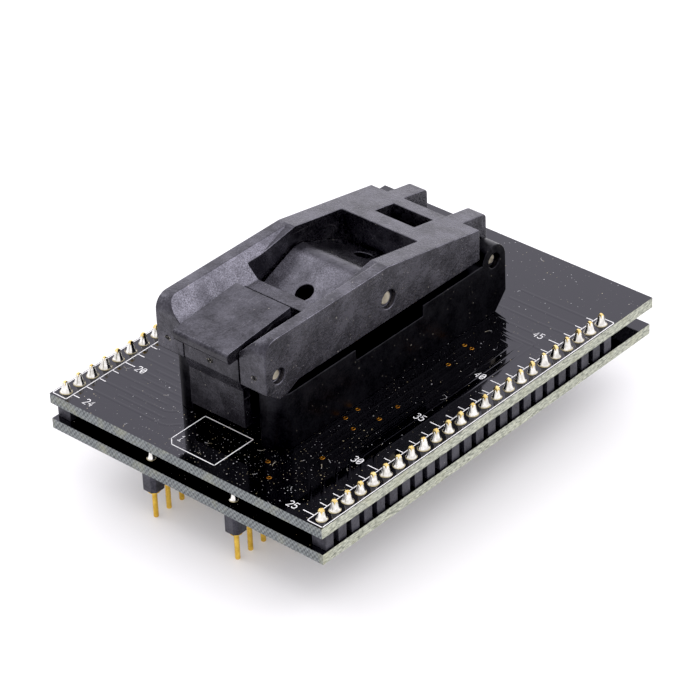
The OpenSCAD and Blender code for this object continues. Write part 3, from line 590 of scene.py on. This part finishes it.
STEEL = plain_metal("shaft_steel", (0.36, 0.32, 0.24), (0.62, 0.57, 0.46), 0.42)
SPRING_WIRE = plain_metal("spring_wire", (0.45, 0.45, 0.46), (0.68, 0.68, 0.68), 0.25)
COPPER = plain_metal("via_copper", (0.34, 0.12, 0.012), (0.66, 0.30, 0.035), 0.26)
SILK = silk_ink("silk_ink")


# Making pieces


def finished_piece(name, mesh, material, body, replaced=()):
    """Puts a finished mesh in the scene as a piece that rides on a body."""
    mesh.materials.clear()
    mesh.materials.append(material)
    piece = bpy.data.objects.new(name, mesh)
    scene.collection.objects.link(piece)
    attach(piece, body)
    if replaced:
        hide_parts(*replaced)


def evaluated_mesh(holder, name):
    """The holder's mesh with its modifiers applied; the holder is removed."""
    depsgraph = bpy.context.evaluated_depsgraph_get()
    mesh = bpy.data.meshes.new_from_object(holder.evaluated_get(depsgraph), depsgraph=depsgraph)
    mesh.name = name
    holder.modifiers.clear()
    bpy.data.objects.remove(holder)
    return mesh


# Distance within which corners are one, least height of a triangle, and bend in degrees that counts as flat
SAME_CORNER = 0.0005 * MM
LEAST_HEIGHT = 0.001 * MM
FLAT_BEND = 0.5


def longest_edge(face):
    return max(face.edges, key=lambda edge: edge.calc_length())


def is_sliver(face):
    """Whether a triangle has next to no height over its longest edge."""
    return 2 * face.calc_area() < LEAST_HEIGHT * longest_edge(face).calc_length()


def turn_slivers(shape):
    """Turns the long edge of each triangle without height, so that its third corner joins the next face."""
    turned = True
    while turned:
        turned = False
        for face in [face for face in shape.faces if is_sliver(face)]:
            edge = longest_edge(face)
            if any(not is_sliver(other) for other in edge.link_faces) and bmesh.utils.edge_rotate(edge):
                turned = True
                break
    shape.normal_update()


def closed_copy(node):
    """A CAD node's mesh with its triangles joined up and its flat faces made whole."""
    shape = bmesh.new()
    shape.from_mesh(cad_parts[node].data)
    bmesh.ops.remove_doubles(shape, verts=shape.verts, dist=SAME_CORNER)
    turn_slivers(shape)
    bmesh.ops.dissolve_limit(shape, angle_limit=math.radians(FLAT_BEND), verts=shape.verts, edges=shape.edges)
    mesh = bpy.data.meshes.new(node + "_closed")
    shape.to_mesh(mesh)
    shape.free()
    return mesh


def rounded_copy(node, edge, sharp):
    """A CAD node's mesh with its sharp edges rounded and its flat faces shaded flat."""
    holder = bpy.data.objects.new(node + "_holder", closed_copy(node))
    scene.collection.objects.link(holder)
    holder.data.polygons.foreach_set("use_smooth", [True] * len(holder.data.polygons))
    round_edge = holder.modifiers.new("edge", "BEVEL")
    round_edge.width = edge
    round_edge.segments = 2
    round_edge.limit_method = "ANGLE"
    round_edge.angle_limit = math.radians(sharp)
    round_edge.use_clamp_overlap = False
    round_edge.miter_outer = "MITER_ARC"
    flat = holder.modifiers.new("flat", "WEIGHTED_NORMAL")
    flat.mode = "FACE_AREA"
    flat.weight = 100
    return evaluated_mesh(holder, node + "_rounded")


# Growing pieces with Geometry Nodes


def growth_tree(name, inputs):
    """A new Geometry Nodes tree with named inputs; returns it with its graph, inputs and end."""
    tree = bpy.data.node_groups.new(name, "GeometryNodeTree")
    for label, kind in [("Geometry", "NodeSocketGeometry"), *inputs, ("Material", "NodeSocketMaterial")]:
        tree.interface.new_socket(name=label, in_out="INPUT", socket_type=kind)
    tree.interface.new_socket(name="Geometry", in_out="OUTPUT", socket_type="NodeSocketGeometry")
    graph = Graph(tree)
    given = graph.add("NodeGroupInput").outputs

    def end(geometry):
        real = graph.add("GeometryNodeRealizeInstances", {"Geometry": geometry}).outputs["Geometry"]
        smooth = graph.add("GeometryNodeSetShadeSmooth", {"Geometry": real}).outputs["Geometry"]
        dressed = graph.add("GeometryNodeSetMaterial", {"Geometry": smooth, "Material": given["Material"]})
        graph.add("NodeGroupOutput", {"Geometry": dressed.outputs["Geometry"]})

    return tree, graph, given, end


def ribbon_tree():
    """Turns the source's lines into closed ribbons of a given width, height and number of sides."""
    tree, g, given, end = growth_tree(
        "ribbons", [("Width", "NodeSocketFloat"), ("Height", "NodeSocketFloat"), ("Sides", "NodeSocketInt")]
    )
    line = g.add("GeometryNodeMeshToCurve", {"Mesh": given["Geometry"]}).outputs["Curve"]
    level = g.add("GeometryNodeSetCurveNormal", {"Curve": line}, mode="Z_UP").outputs["Curve"]
    turn = g.math("DIVIDE", math.pi, given["Sides"])
    radius = g.math("DIVIDE", 0.5, g.math("COSINE", turn))
    ring = g.add("GeometryNodeCurvePrimitiveCircle", {"Resolution": given["Sides"], "Radius": radius}).outputs["Curve"]
    about_z = g.add("ShaderNodeCombineXYZ", {"Z": turn}).outputs[0]
    turned = g.add("GeometryNodeTransform", {"Geometry": ring, "Rotation": about_z}).outputs["Geometry"]
    size = g.add("ShaderNodeCombineXYZ", {"X": given["Width"], "Y": given["Height"], "Z": 1.0}).outputs[0]
    profile = g.add("GeometryNodeTransform", {"Geometry": turned, "Scale": size}).outputs["Geometry"]
    end(g.add("GeometryNodeCurveToMesh", {"Curve": level, "Profile Curve": profile, "Fill Caps": True}).outputs["Mesh"])
    return tree


def row_tree():
    """Repeats the source piece along a row, each one with its own turn and size."""
    tree, g, given, end = growth_tree(
        "row_of_pieces",
        [("Count", "NodeSocketInt"), ("Start", "NodeSocketVector"), ("Step", "NodeSocketVector"),
         ("Smallest", "NodeSocketFloat"), ("Seed", "NodeSocketInt")],
    )
    spread = {"Count": given["Count"], "Start Location": given["Start"], "Offset": given["Step"]}
    places = g.add("GeometryNodeMeshLine", spread).outputs["Mesh"]
    any_turn = {0: (0, 0, 0), 1: (0, 0, math.tau), "Seed": given["Seed"]}
    turn = g.add("FunctionNodeRandomValue", any_turn, data_type="FLOAT_VECTOR")
    any_size = {2: given["Smallest"], 3: 1.0, "Seed": given["Seed"]}
    size = g.add("FunctionNodeRandomValue", any_size, data_type="FLOAT")
    rotation = g.add("FunctionNodeEulerToRotation", {"Euler": turn.outputs[0]}).outputs["Rotation"]
    end(g.add(
        "GeometryNodeInstanceOnPoints",
        {"Points": places, "Instance": given["Geometry"], "Rotation": rotation, "Scale": size.outputs[1]},
    ).outputs["Instances"])
    return tree


# Sides of a ring and of its section, and the section's height against its width
RING_SIDES, SECTION_SIDES = 20, 8
RING_FLATNESS = 0.3


def ring_tree():
    """Sets a flat ring on each of the source's points."""
    tree, g, given, end = growth_tree("rings", [("Radius", "NodeSocketFloat"), ("Rim", "NodeSocketFloat")])
    circle, section = (
        g.add("GeometryNodeCurvePrimitiveCircle", {"Resolution": sides, "Radius": radius}).outputs["Curve"]
        for sides, radius in ((RING_SIDES, given["Radius"]), (SECTION_SIDES, given["Rim"]))
    )
    ring = g.add("GeometryNodeCurveToMesh", {"Curve": circle, "Profile Curve": section}).outputs["Mesh"]
    flat = g.add("GeometryNodeTransform", {"Geometry": ring, "Scale": (1.0, 1.0, RING_FLATNESS)}).outputs["Geometry"]
    end(g.add("GeometryNodeInstanceOnPoints", {"Points": given["Geometry"], "Instance": flat}).outputs["Instances"])
    return tree


RIBBONS = ribbon_tree()
ROW = row_tree()
RINGS = ring_tree()


def grown_mesh(name, tree, source, inputs):
    """The mesh that a tree grows from a source mesh with the given inputs."""
    holder = bpy.data.objects.new(name + "_holder", source)
    scene.collection.objects.link(holder)
    growth = holder.modifiers.new("growth", "NODES")
    growth.node_group = tree
    for item in tree.interface.items_tree:
        if item.in_out == "INPUT" and item.name in inputs:
            growth[item.identifier] = inputs[item.name]
    return evaluated_mesh(holder, name)


def line_mesh(name, lines, level):
    """A mesh of loose lines at one height, from lines of X and Y places in millimetres."""
    places, edges = [], []
    for line in lines:
        first = len(places)
        places += [(x * MM, y * MM, level) for x, y in line]
        edges += [(first + i, first + i + 1) for i in range(len(line) - 1)]
    mesh = bpy.data.meshes.new(name)
    mesh.from_pydata(places, edges, [])
    return mesh


def lathe_mesh(name, profile, around, lobe):
    """A closed turned shape about Z from radius and height pairs in millimetres, out of round by the share lobe."""
    shape = bmesh.new()
    rings = []
    for radius, height in profile:
        ring = []
        for k in range(around):
            angle = math.tau * k / around
            r = radius * (1 + lobe * math.cos(2 * angle) + 0.6 * lobe * math.cos(3 * angle + 1.0))
            ring.append(shape.verts.new((r * math.cos(angle) * MM, r * math.sin(angle) * MM, height * MM)))
        rings.append(ring)
    for lower, upper in zip(rings, rings[1:]):
        for k in range(around):
            n = (k + 1) % around
            shape.faces.new((lower[k], lower[n], upper[n], upper[k]))
    shape.faces.new(reversed(rings[0]))
    shape.faces.new(rings[-1])
    bmesh.ops.recalc_face_normals(shape, faces=shape.faces)
    mesh = bpy.data.meshes.new(name)
    shape.to_mesh(mesh)
    shape.free()
    return mesh


# Mouldings, strips, pins and shafts: the CAD shapes with rounded edges

# Angles in degrees above which an edge is rounded: low on mouldings, which have shallow slopes, high on round pieces
MOULDED = 9.2
TURNED = 30
# Material, edge radius in millimetres, angle, body and slot of each piece
ROUNDED = {
    "lid": (LID_PLASTIC, 0.14, MOULDED, "lid", "lid_plastic"),
    "pusher": (PUSHER_PLASTIC, 0.12, MOULDED, "pusher", "lid_plastic"),
    "latch": (LATCH_PLASTIC, 0.09, MOULDED, "latch", "lid_plastic"),
    "socket_base": (BASE_PLASTIC, 0.12, MOULDED, "base", "base_plastic"),
    "hinge_shaft": (STEEL, 0.15, TURNED, "base", "shaft_steel"),
    "pusher_shaft": (STEEL, 0.20, TURNED, "lid", "shaft_steel"),
    "latch_shaft": (STEEL, 0.15, TURNED, "lid", "shaft_steel"),
}
for side in SIDES:
    ROUNDED[side + "_spacer_strip"] = (STRIP_PLASTIC, 0.05, TURNED, "base", "strip")
    ROUNDED[side + "_plug_strip"] = (STRIP_PLASTIC, 0.05, TURNED, "base", "strip")
    ROUNDED[side + "_link_pins"] = (TINNED_GOLD, 0.03, TURNED, "base", "gold_pin")
    ROUNDED[side + "_plug_pins"] = (GOLD, 0.03, TURNED, "base", "gold_pin")
for node, (material, edge, sharp, body, slot) in ROUNDED.items():
    finished_piece(node + "_rounded", rounded_copy(node, edge * MM, sharp), material, body, [node])

# Boards, contacts and springs: the CAD shapes as they are
CAD_FINISH = {
    "upper_board": BOARD, "lower_board": BOARD, "contact_block": BASE_PLASTIC,
    "hinge_spring": SPRING_WIRE, "latch_spring": SPRING_WIRE,
}
for side in SIDES:
    CAD_FINISH[side + "_contacts"] = GOLD
    CAD_FINISH[side + "_contact_solder"] = SOLDER
for node, finish in CAD_FINISH.items():
    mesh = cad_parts[node].data
    mesh.materials.clear()
    mesh.materials.append(finish)


# Solder: one drop, grown along each row

# Radius and height up a drop in millimetres
DROP = [
    (0.95, 0.0), (0.93, 0.03), (0.87, 0.08), (0.79, 0.16), (0.71, 0.28), (0.63, 0.45), (0.56, 0.63), (0.49, 0.82),
    (0.43, 1.0), (0.37, 1.12), (0.30, 1.18), (0.16, 1.2),
]
DROP_HEIGHT = DROP[-1][1]
DROP_SIDES = 20
DROP_LOBE = 0.03
SMALLEST_DROP = 0.84


def drop_mesh(name, height, wide, up):
    """A solder drop of a given height and share of the full width, standing up or hanging down."""
    tall = height / DROP_HEIGHT
    return lathe_mesh(name, [(r * wide, up * z * tall) for r, z in DROP], DROP_SIDES, DROP_LOBE)


# Node, row, level, height in millimetres, share of the full width, direction and material
SOLDER_ROWS = [
    ("top_solder", LINK_X, DECK, 1.6, 1.0, 1, DECK_SOLDER),
    ("bottom_solder", LINK_X, LOWER_UNDER, 0.9, 1.0, -1, SOLDER),
    ("plug_solder", PLUG_X, LOWER_TOP, 1.05, 0.8, 1, PLUG_SOLDER),
]
for seed, (part, x, level, height, wide, up, finish) in enumerate(SOLDER_ROWS):
    for side, sign in SIDES.items():
        node = side + "_" + part
        row = {
            "Count": ROW_PINS, "Start": (sign * x, FIRST_PIN, level), "Step": (0.0, PITCH, 0.0),
            "Smallest": SMALLEST_DROP, "Seed": 10 * seed + sign + 1, "Material": finish,
        }
        mesh = grown_mesh(node + "_drops", ROW, drop_mesh(node + "_drop", height, wide, up), row)
        finished_piece(node + "_drops", mesh, finish, "base", [node])


# Printing on the upper board


def bow(x, y, across, up, start, end, steps=9):
    """Places along an arc of an ellipse, from one angle in degrees to another."""
    angles = [math.radians(start + (end - start) * i / steps) for i in range(steps + 1)]
    return [(x + across * math.cos(a), y + up * math.sin(a)) for a in angles]


# Strokes of the digits in a field of height 1 and width DIGIT_WIDTH
DIGIT_WIDTH = 0.5
DIGIT_STROKES = {
    "0": [bow(0.25, 0.5, 0.25, 0.5, 90, 450, 18), [(0.12, 0.25), (0.38, 0.75)]],
    "1": [[(0.06, 0.80), (0.27, 1.0), (0.27, 0.0)], [(0.06, 0.0), (0.48, 0.0)]],
    "2": [bow(0.25, 0.74, 0.25, 0.26, 165, -38) + [(0.0, 0.0), (0.5, 0.0)]],
    "3": [bow(0.23, 0.76, 0.24, 0.24, 150, -90) + bow(0.23, 0.27, 0.27, 0.27, 80, -150)],
    "4": [[(0.38, 0.0), (0.38, 1.0), (0.0, 0.32), (0.5, 0.32)]],
    "5": [[(0.47, 1.0), (0.06, 1.0), (0.03, 0.56)] + bow(0.23, 0.32, 0.27, 0.31, 125, -150)],
}
# Height and step of the digits, and width, height and level over the board of all printed lines, in millimetres
DIGIT_HEIGHT = 1.22
DIGIT_STEP = 0.88
PRINT_WIDTH = 0.135
PRINT_HEIGHT = 0.036
PRINT_LEVEL = 0.012


def label_lines(text, x, y):
    """Strokes of a number with its middle at a place, reading along X."""
    wide = DIGIT_STEP * (len(text) - 1) + DIGIT_WIDTH * DIGIT_HEIGHT
    lines = []
    for i, digit in enumerate(text):
        left = x - wide / 2 + i * DIGIT_STEP
        for stroke in DIGIT_STROKES[digit]:
            lines.append([(left + u * DIGIT_HEIGHT, y + (v - 0.5) * DIGIT_HEIGHT) for u, v in stroke])
    return lines


def box_lines(corners):
    """Sides of a closed outline, each carried on by half the print's width so that the corners fill."""
    lines = []
    for start, end in zip(corners, corners[1:] + corners[:1]):
        a, b = Vector(start), Vector(end)
        over = (b - a).normalized() * PRINT_WIDTH * 0.5
        lines.append([tuple(a - over), tuple(b + over)])
    return lines


# Reach of the printed frames beside and past a row of pins, and length of the ticks, in millimetres
FRAME_HALF = 1.31
FRAME_END = 1.34
SHORT_TICK = 1.25
LONG_TICK = 1.9
# Number printed beside a pin, by the pin's place from the latch end, and the middle of each side's numbers
PIN_LABELS = {"left": {0: "24", 4: "20", 9: "15", 14: "10", 19: "5", 23: "1"},
              "right": {0: "25", 5: "30", 10: "35", 15: "40", 20: "45"}}
LABEL_X = {"left": -19.08, "right": 18.47}
LONG_TICKS = {"left": (4, 9, 14, 19), "right": (0, 5, 10, 15, 20)}
# Outline in front of the socket that marks pin 1, and the middle of its number
PIN_ONE_OUTLINE = [(-4.4, -25.7), (4.4, -25.7), (4.4, -33.3), (-3.4, -33.3), (-4.4, -32.3)]
PIN_ONE_LABEL = (-3.27, -31.5)


def print_lines():
    """All printed lines: frames round the pin rows, ticks, pin numbers and the mark of pin 1."""
    row_x, first, last = LINK_X / MM, pin_y(0) / MM, pin_y(ROW_PINS - 1) / MM
    lines = []
    for side, sign in SIDES.items():
        inner, outer = sign * (row_x - FRAME_HALF), sign * (row_x + FRAME_HALF)
        front, back = first - FRAME_END, last + FRAME_END
        lines += box_lines([(inner, front), (outer, front), (outer, back), (inner, back)])
        for i in range(ROW_PINS):
            y = pin_y(i) / MM
            reach = LONG_TICK if i in LONG_TICKS[side] else SHORT_TICK
            lines.append([(inner, y), (inner - sign * reach, y)])
        for i, text in PIN_LABELS[side].items():
            lines += label_lines(text, LABEL_X[side], pin_y(i) / MM)
    lines += box_lines(PIN_ONE_OUTLINE)
    lines += label_lines("1", *PIN_ONE_LABEL)
    return lines


def printing():
    source = line_mesh("print_lines", print_lines(), DECK + PRINT_LEVEL * MM)
    ink = {"Width": PRINT_WIDTH * MM, "Height": PRINT_HEIGHT * MM, "Sides": 4, "Material": SILK}
    finished_piece("board_printing", grown_mesh("board_printing", RIBBONS, source, ink), SILK, "base")


printing()


# Copper of the upper board: ridges of the covered traces, and bare via rings

# Distance of neighbouring traces, how far their corners are cut, and their ends at the pins and at the socket
LANE = 1.27
CUT = 0.5
PAD_X = LINK_X / MM - 0.8
WALL_X = 9.0
BEND_X = PAD_X - 1.0
# Innermost of the traces that nest round the socket's right side, and the number of them
NEST_X, NEST_Y, NESTED = 13.2, 9.45, 6
SIDE_RUNS = [[(10.65, -11.65), (10.65, -25.5)], [(11.93, 9.3), (11.93, -24.3)]]
# Where the runs between the left row's pins start, and the ends of the front ones
BETWEEN_X = -17.5
FRONT_END, FRONT_STEP, FRONT_RISE, FRONT_SHORT = -9.2, 2.0, 2.4, 1.2
# Pins, by their place from the latch end, that the front, the left and the rear runs belong to
FRONT_PINS = range(1, 3)
LEFT_PINS = range(3, 12)
REAR_PINS = range(19, ROW_PINS)
# Ridge over a trace: width, height and depth of its middle under the board's face, and number of sides
RIDGE_WIDTH, RIDGE_HEIGHT, RIDGE_DEPTH = 0.84, 0.1, 0.038
RIDGE_SIDES = 20


def cut_corners(corners):
    """A line with its corners cut short."""
    line = [Vector(corners[0])]
    for before, corner, after in zip(corners, corners[1:], corners[2:]):
        corner = Vector(corner)
        line.append(corner + (Vector(before) - corner).normalized() * CUT)
        line.append(corner + (Vector(after) - corner).normalized() * CUT)
    line.append(Vector(corners[-1]))
    return [tuple(place) for place in line]


def trace_lines():
    """Traces that nest round the socket on the right, and straight runs from the left row and the rear pins."""
    lines = []
    for k in range(NESTED):
        lane, back, front = NEST_X + LANE * k, NEST_Y + LANE * k, pin_y(k) / MM
        slant = (lane, front + BEND_X - lane)
        lines.append(cut_corners([(WALL_X, back), (lane, back), slant, (BEND_X, front), (PAD_X, front)]))
    lines += SIDE_RUNS
    for k in REAR_PINS:
        row = pin_y(k) / MM
        lines += [[(sign * WALL_X, row), (sign * PAD_X, row)] for sign in (1, -1)]
    for k in FRONT_PINS:
        row, end = pin_y(k) / MM, FRONT_END + FRONT_STEP * (2 - k)
        lines.append(cut_corners([(-PAD_X, row), (end, row), (end + FRONT_RISE, row + FRONT_RISE)]))
        lines.append([(BETWEEN_X, row + LANE), (end - FRONT_SHORT, row + LANE)])
    for k in LEFT_PINS:
        row = pin_y(k) / MM
        lines += [[(-PAD_X, row), (-WALL_X, row)], [(BETWEEN_X, row + LANE), (-WALL_X, row + LANE)]]
    return lines


# Places of the vias, and the radius and rim of the bare ring round each, in millimetres
VIA_RADIUS, VIA_RIM = 0.25, 0.12
VIAS = [
    (9.36, -28.15), (11.95, -30.75), (14.46, -23.07), (10.63, -11.65), (10.68, -14.21), (14.46, -7.85),
    (14.43, -11.58), (13.16, -15.47), (13.25, 4.24), (11.93, 9.30), (13.23, 9.27),
]


def copper():
    source = line_mesh("trace_lines", trace_lines(), DECK - RIDGE_DEPTH * MM)
    ridge = {"Width": RIDGE_WIDTH * MM, "Height": RIDGE_HEIGHT * MM, "Sides": RIDGE_SIDES, "Material": MASK}
    finished_piece("mask_ridges", grown_mesh("mask_ridges", RIBBONS, source, ridge), MASK, "base")
    places = bpy.data.meshes.new("via_places")
    places.from_pydata([(x * MM, y * MM, DECK) for x, y in VIAS], [], [])
    ring = {"Radius": VIA_RADIUS * MM, "Rim": VIA_RIM * MM, "Material": COPPER}
    finished_piece("via_rings", grown_mesh("via_rings", RINGS, places, ring), COPPER, "base")


copper()


# Scars left by the moulding gates on the front of the lid's arms and of the latch

# Radius and height of a scar in millimetres, its sides and lobe, and how far its corners are torn out of place
SCAR = [(0.50, -0.04), (0.46, 0.0), (0.36, 0.04), (0.24, 0.02), (0.12, 0.05), (0.04, 0.03)]
SCAR_SIDES = 16
SCAR_LOBE = 0.15
SCAR_TEAR = 0.07


def gate_scar(name, x, above, body, seed):
    """A small torn stub on a front face, facing the latch end, at X and a height over the board in millimetres."""
    chance = random.Random(seed)
    mesh = lathe_mesh(name, SCAR, SCAR_SIDES, SCAR_LOBE)
    for vertex in mesh.vertices:
        vertex.co += Vector([chance.uniform(-SCAR_TEAR, SCAR_TEAR) * MM for _ in range(3)])
    place = Matrix.Translation((x * MM, LID_FRONT, DECK + above * MM))
    mesh.transform(place @ Matrix.Rotation(math.pi / 2, 4, "X"))
    finished_piece(name, mesh, GATE_SCAR, body)


gate_scar("left_arm_scar", -7.93, 12.58, "lid", seed=1)
gate_scar("right_arm_scar", 7.76, 12.64, "lid", seed=2)
gate_scar("latch_scar", -0.24, 12.17, "latch", seed=3)


# Stage

FLOOR_REACH = 4.0
SURROUND_COLOUR = (1.0, 0.98, 1.02, 1)
SURROUND_STRENGTH = 1.32
BLACK_LEVEL = 0.0026
WHITE, BLUISH = (1.0, 1.0, 1.0), (0.85, 0.83, 1.0)
# Place, width, height, power and colour of each lamp; all point at the origin
LAMPS = {
    "right_softbox": ((0.46, 0.50, 0.85), 0.5, 0.5, 1.6, WHITE),
    "left_softbox": ((-0.85, -0.10, 0.75), 0.6, 0.6, 2.4, WHITE),
    "back_wall": ((-0.75, 0.85, 0.55), 1.6, 1.0, 1.8, BLUISH),
}


def lay_floor():
    floor_mesh = bpy.data.meshes.new("floor")
    turns = ((-1, -1), (1, -1), (1, 1), (-1, 1))
    corners = [(x * FLOOR_REACH, y * FLOOR_REACH, cad_low.z) for x, y in turns]
    floor_mesh.from_pydata(corners, [], [(0, 1, 2, 3)])
    floor_mesh.materials.append(paper_floor("paper_floor"))
    floor = bpy.data.objects.new("floor", floor_mesh)
    scene.collection.objects.link(floor)


def light_studio():
    """White surround, soft lamps and the tones of the picture."""
    surround = bpy.data.worlds.new("white_surround")
    surround.use_nodes = True
    background = surround.node_tree.nodes["Background"]
    background.inputs["Color"].default_value = SURROUND_COLOUR
    background.inputs["Strength"].default_value = SURROUND_STRENGTH
    scene.world = surround
    scene.view_settings.view_transform = "Standard"
    scene.view_settings.use_curve_mapping = True
    scene.view_settings.curve_mapping.black_level = (BLACK_LEVEL,) * 3
    scene.view_settings.curve_mapping.update()
    for name, (place, wide, tall, power, tint) in LAMPS.items():
        light = bpy.data.lights.new(name, "AREA")
        light.shape = "RECTANGLE"
        light.size = wide
        light.size_y = tall
        light.energy = power
        light.color = tint
        lamp = bpy.data.objects.new(name, light)
        scene.collection.objects.link(lamp)
        lamp.location = place
        lamp.rotation_euler = (-Vector(place)).to_track_quat("-Z", "Y").to_euler()


def set_camera():
    lens = bpy.data.cameras.new("photo_camera")
    lens.lens = CAMERA_LENS
    lens.sensor_width = CAMERA_SENSOR
    lens.clip_start = CAMERA_NEAR
    camera = bpy.data.objects.new("photo_camera", lens)
    scene.collection.objects.link(camera)
    turn = Matrix.Rotation(CAMERA_AZIMUTH, 4, "Z") @ Matrix.Rotation(math.pi / 2 - CAMERA_ELEVATION, 4, "X")
    camera.matrix_world = Matrix.Translation(CAMERA_PLACE) @ turn @ Matrix.Rotation(CAMERA_ROLL, 4, "Z")
    scene.camera = camera


lay_floor()
light_studio()
set_camera()
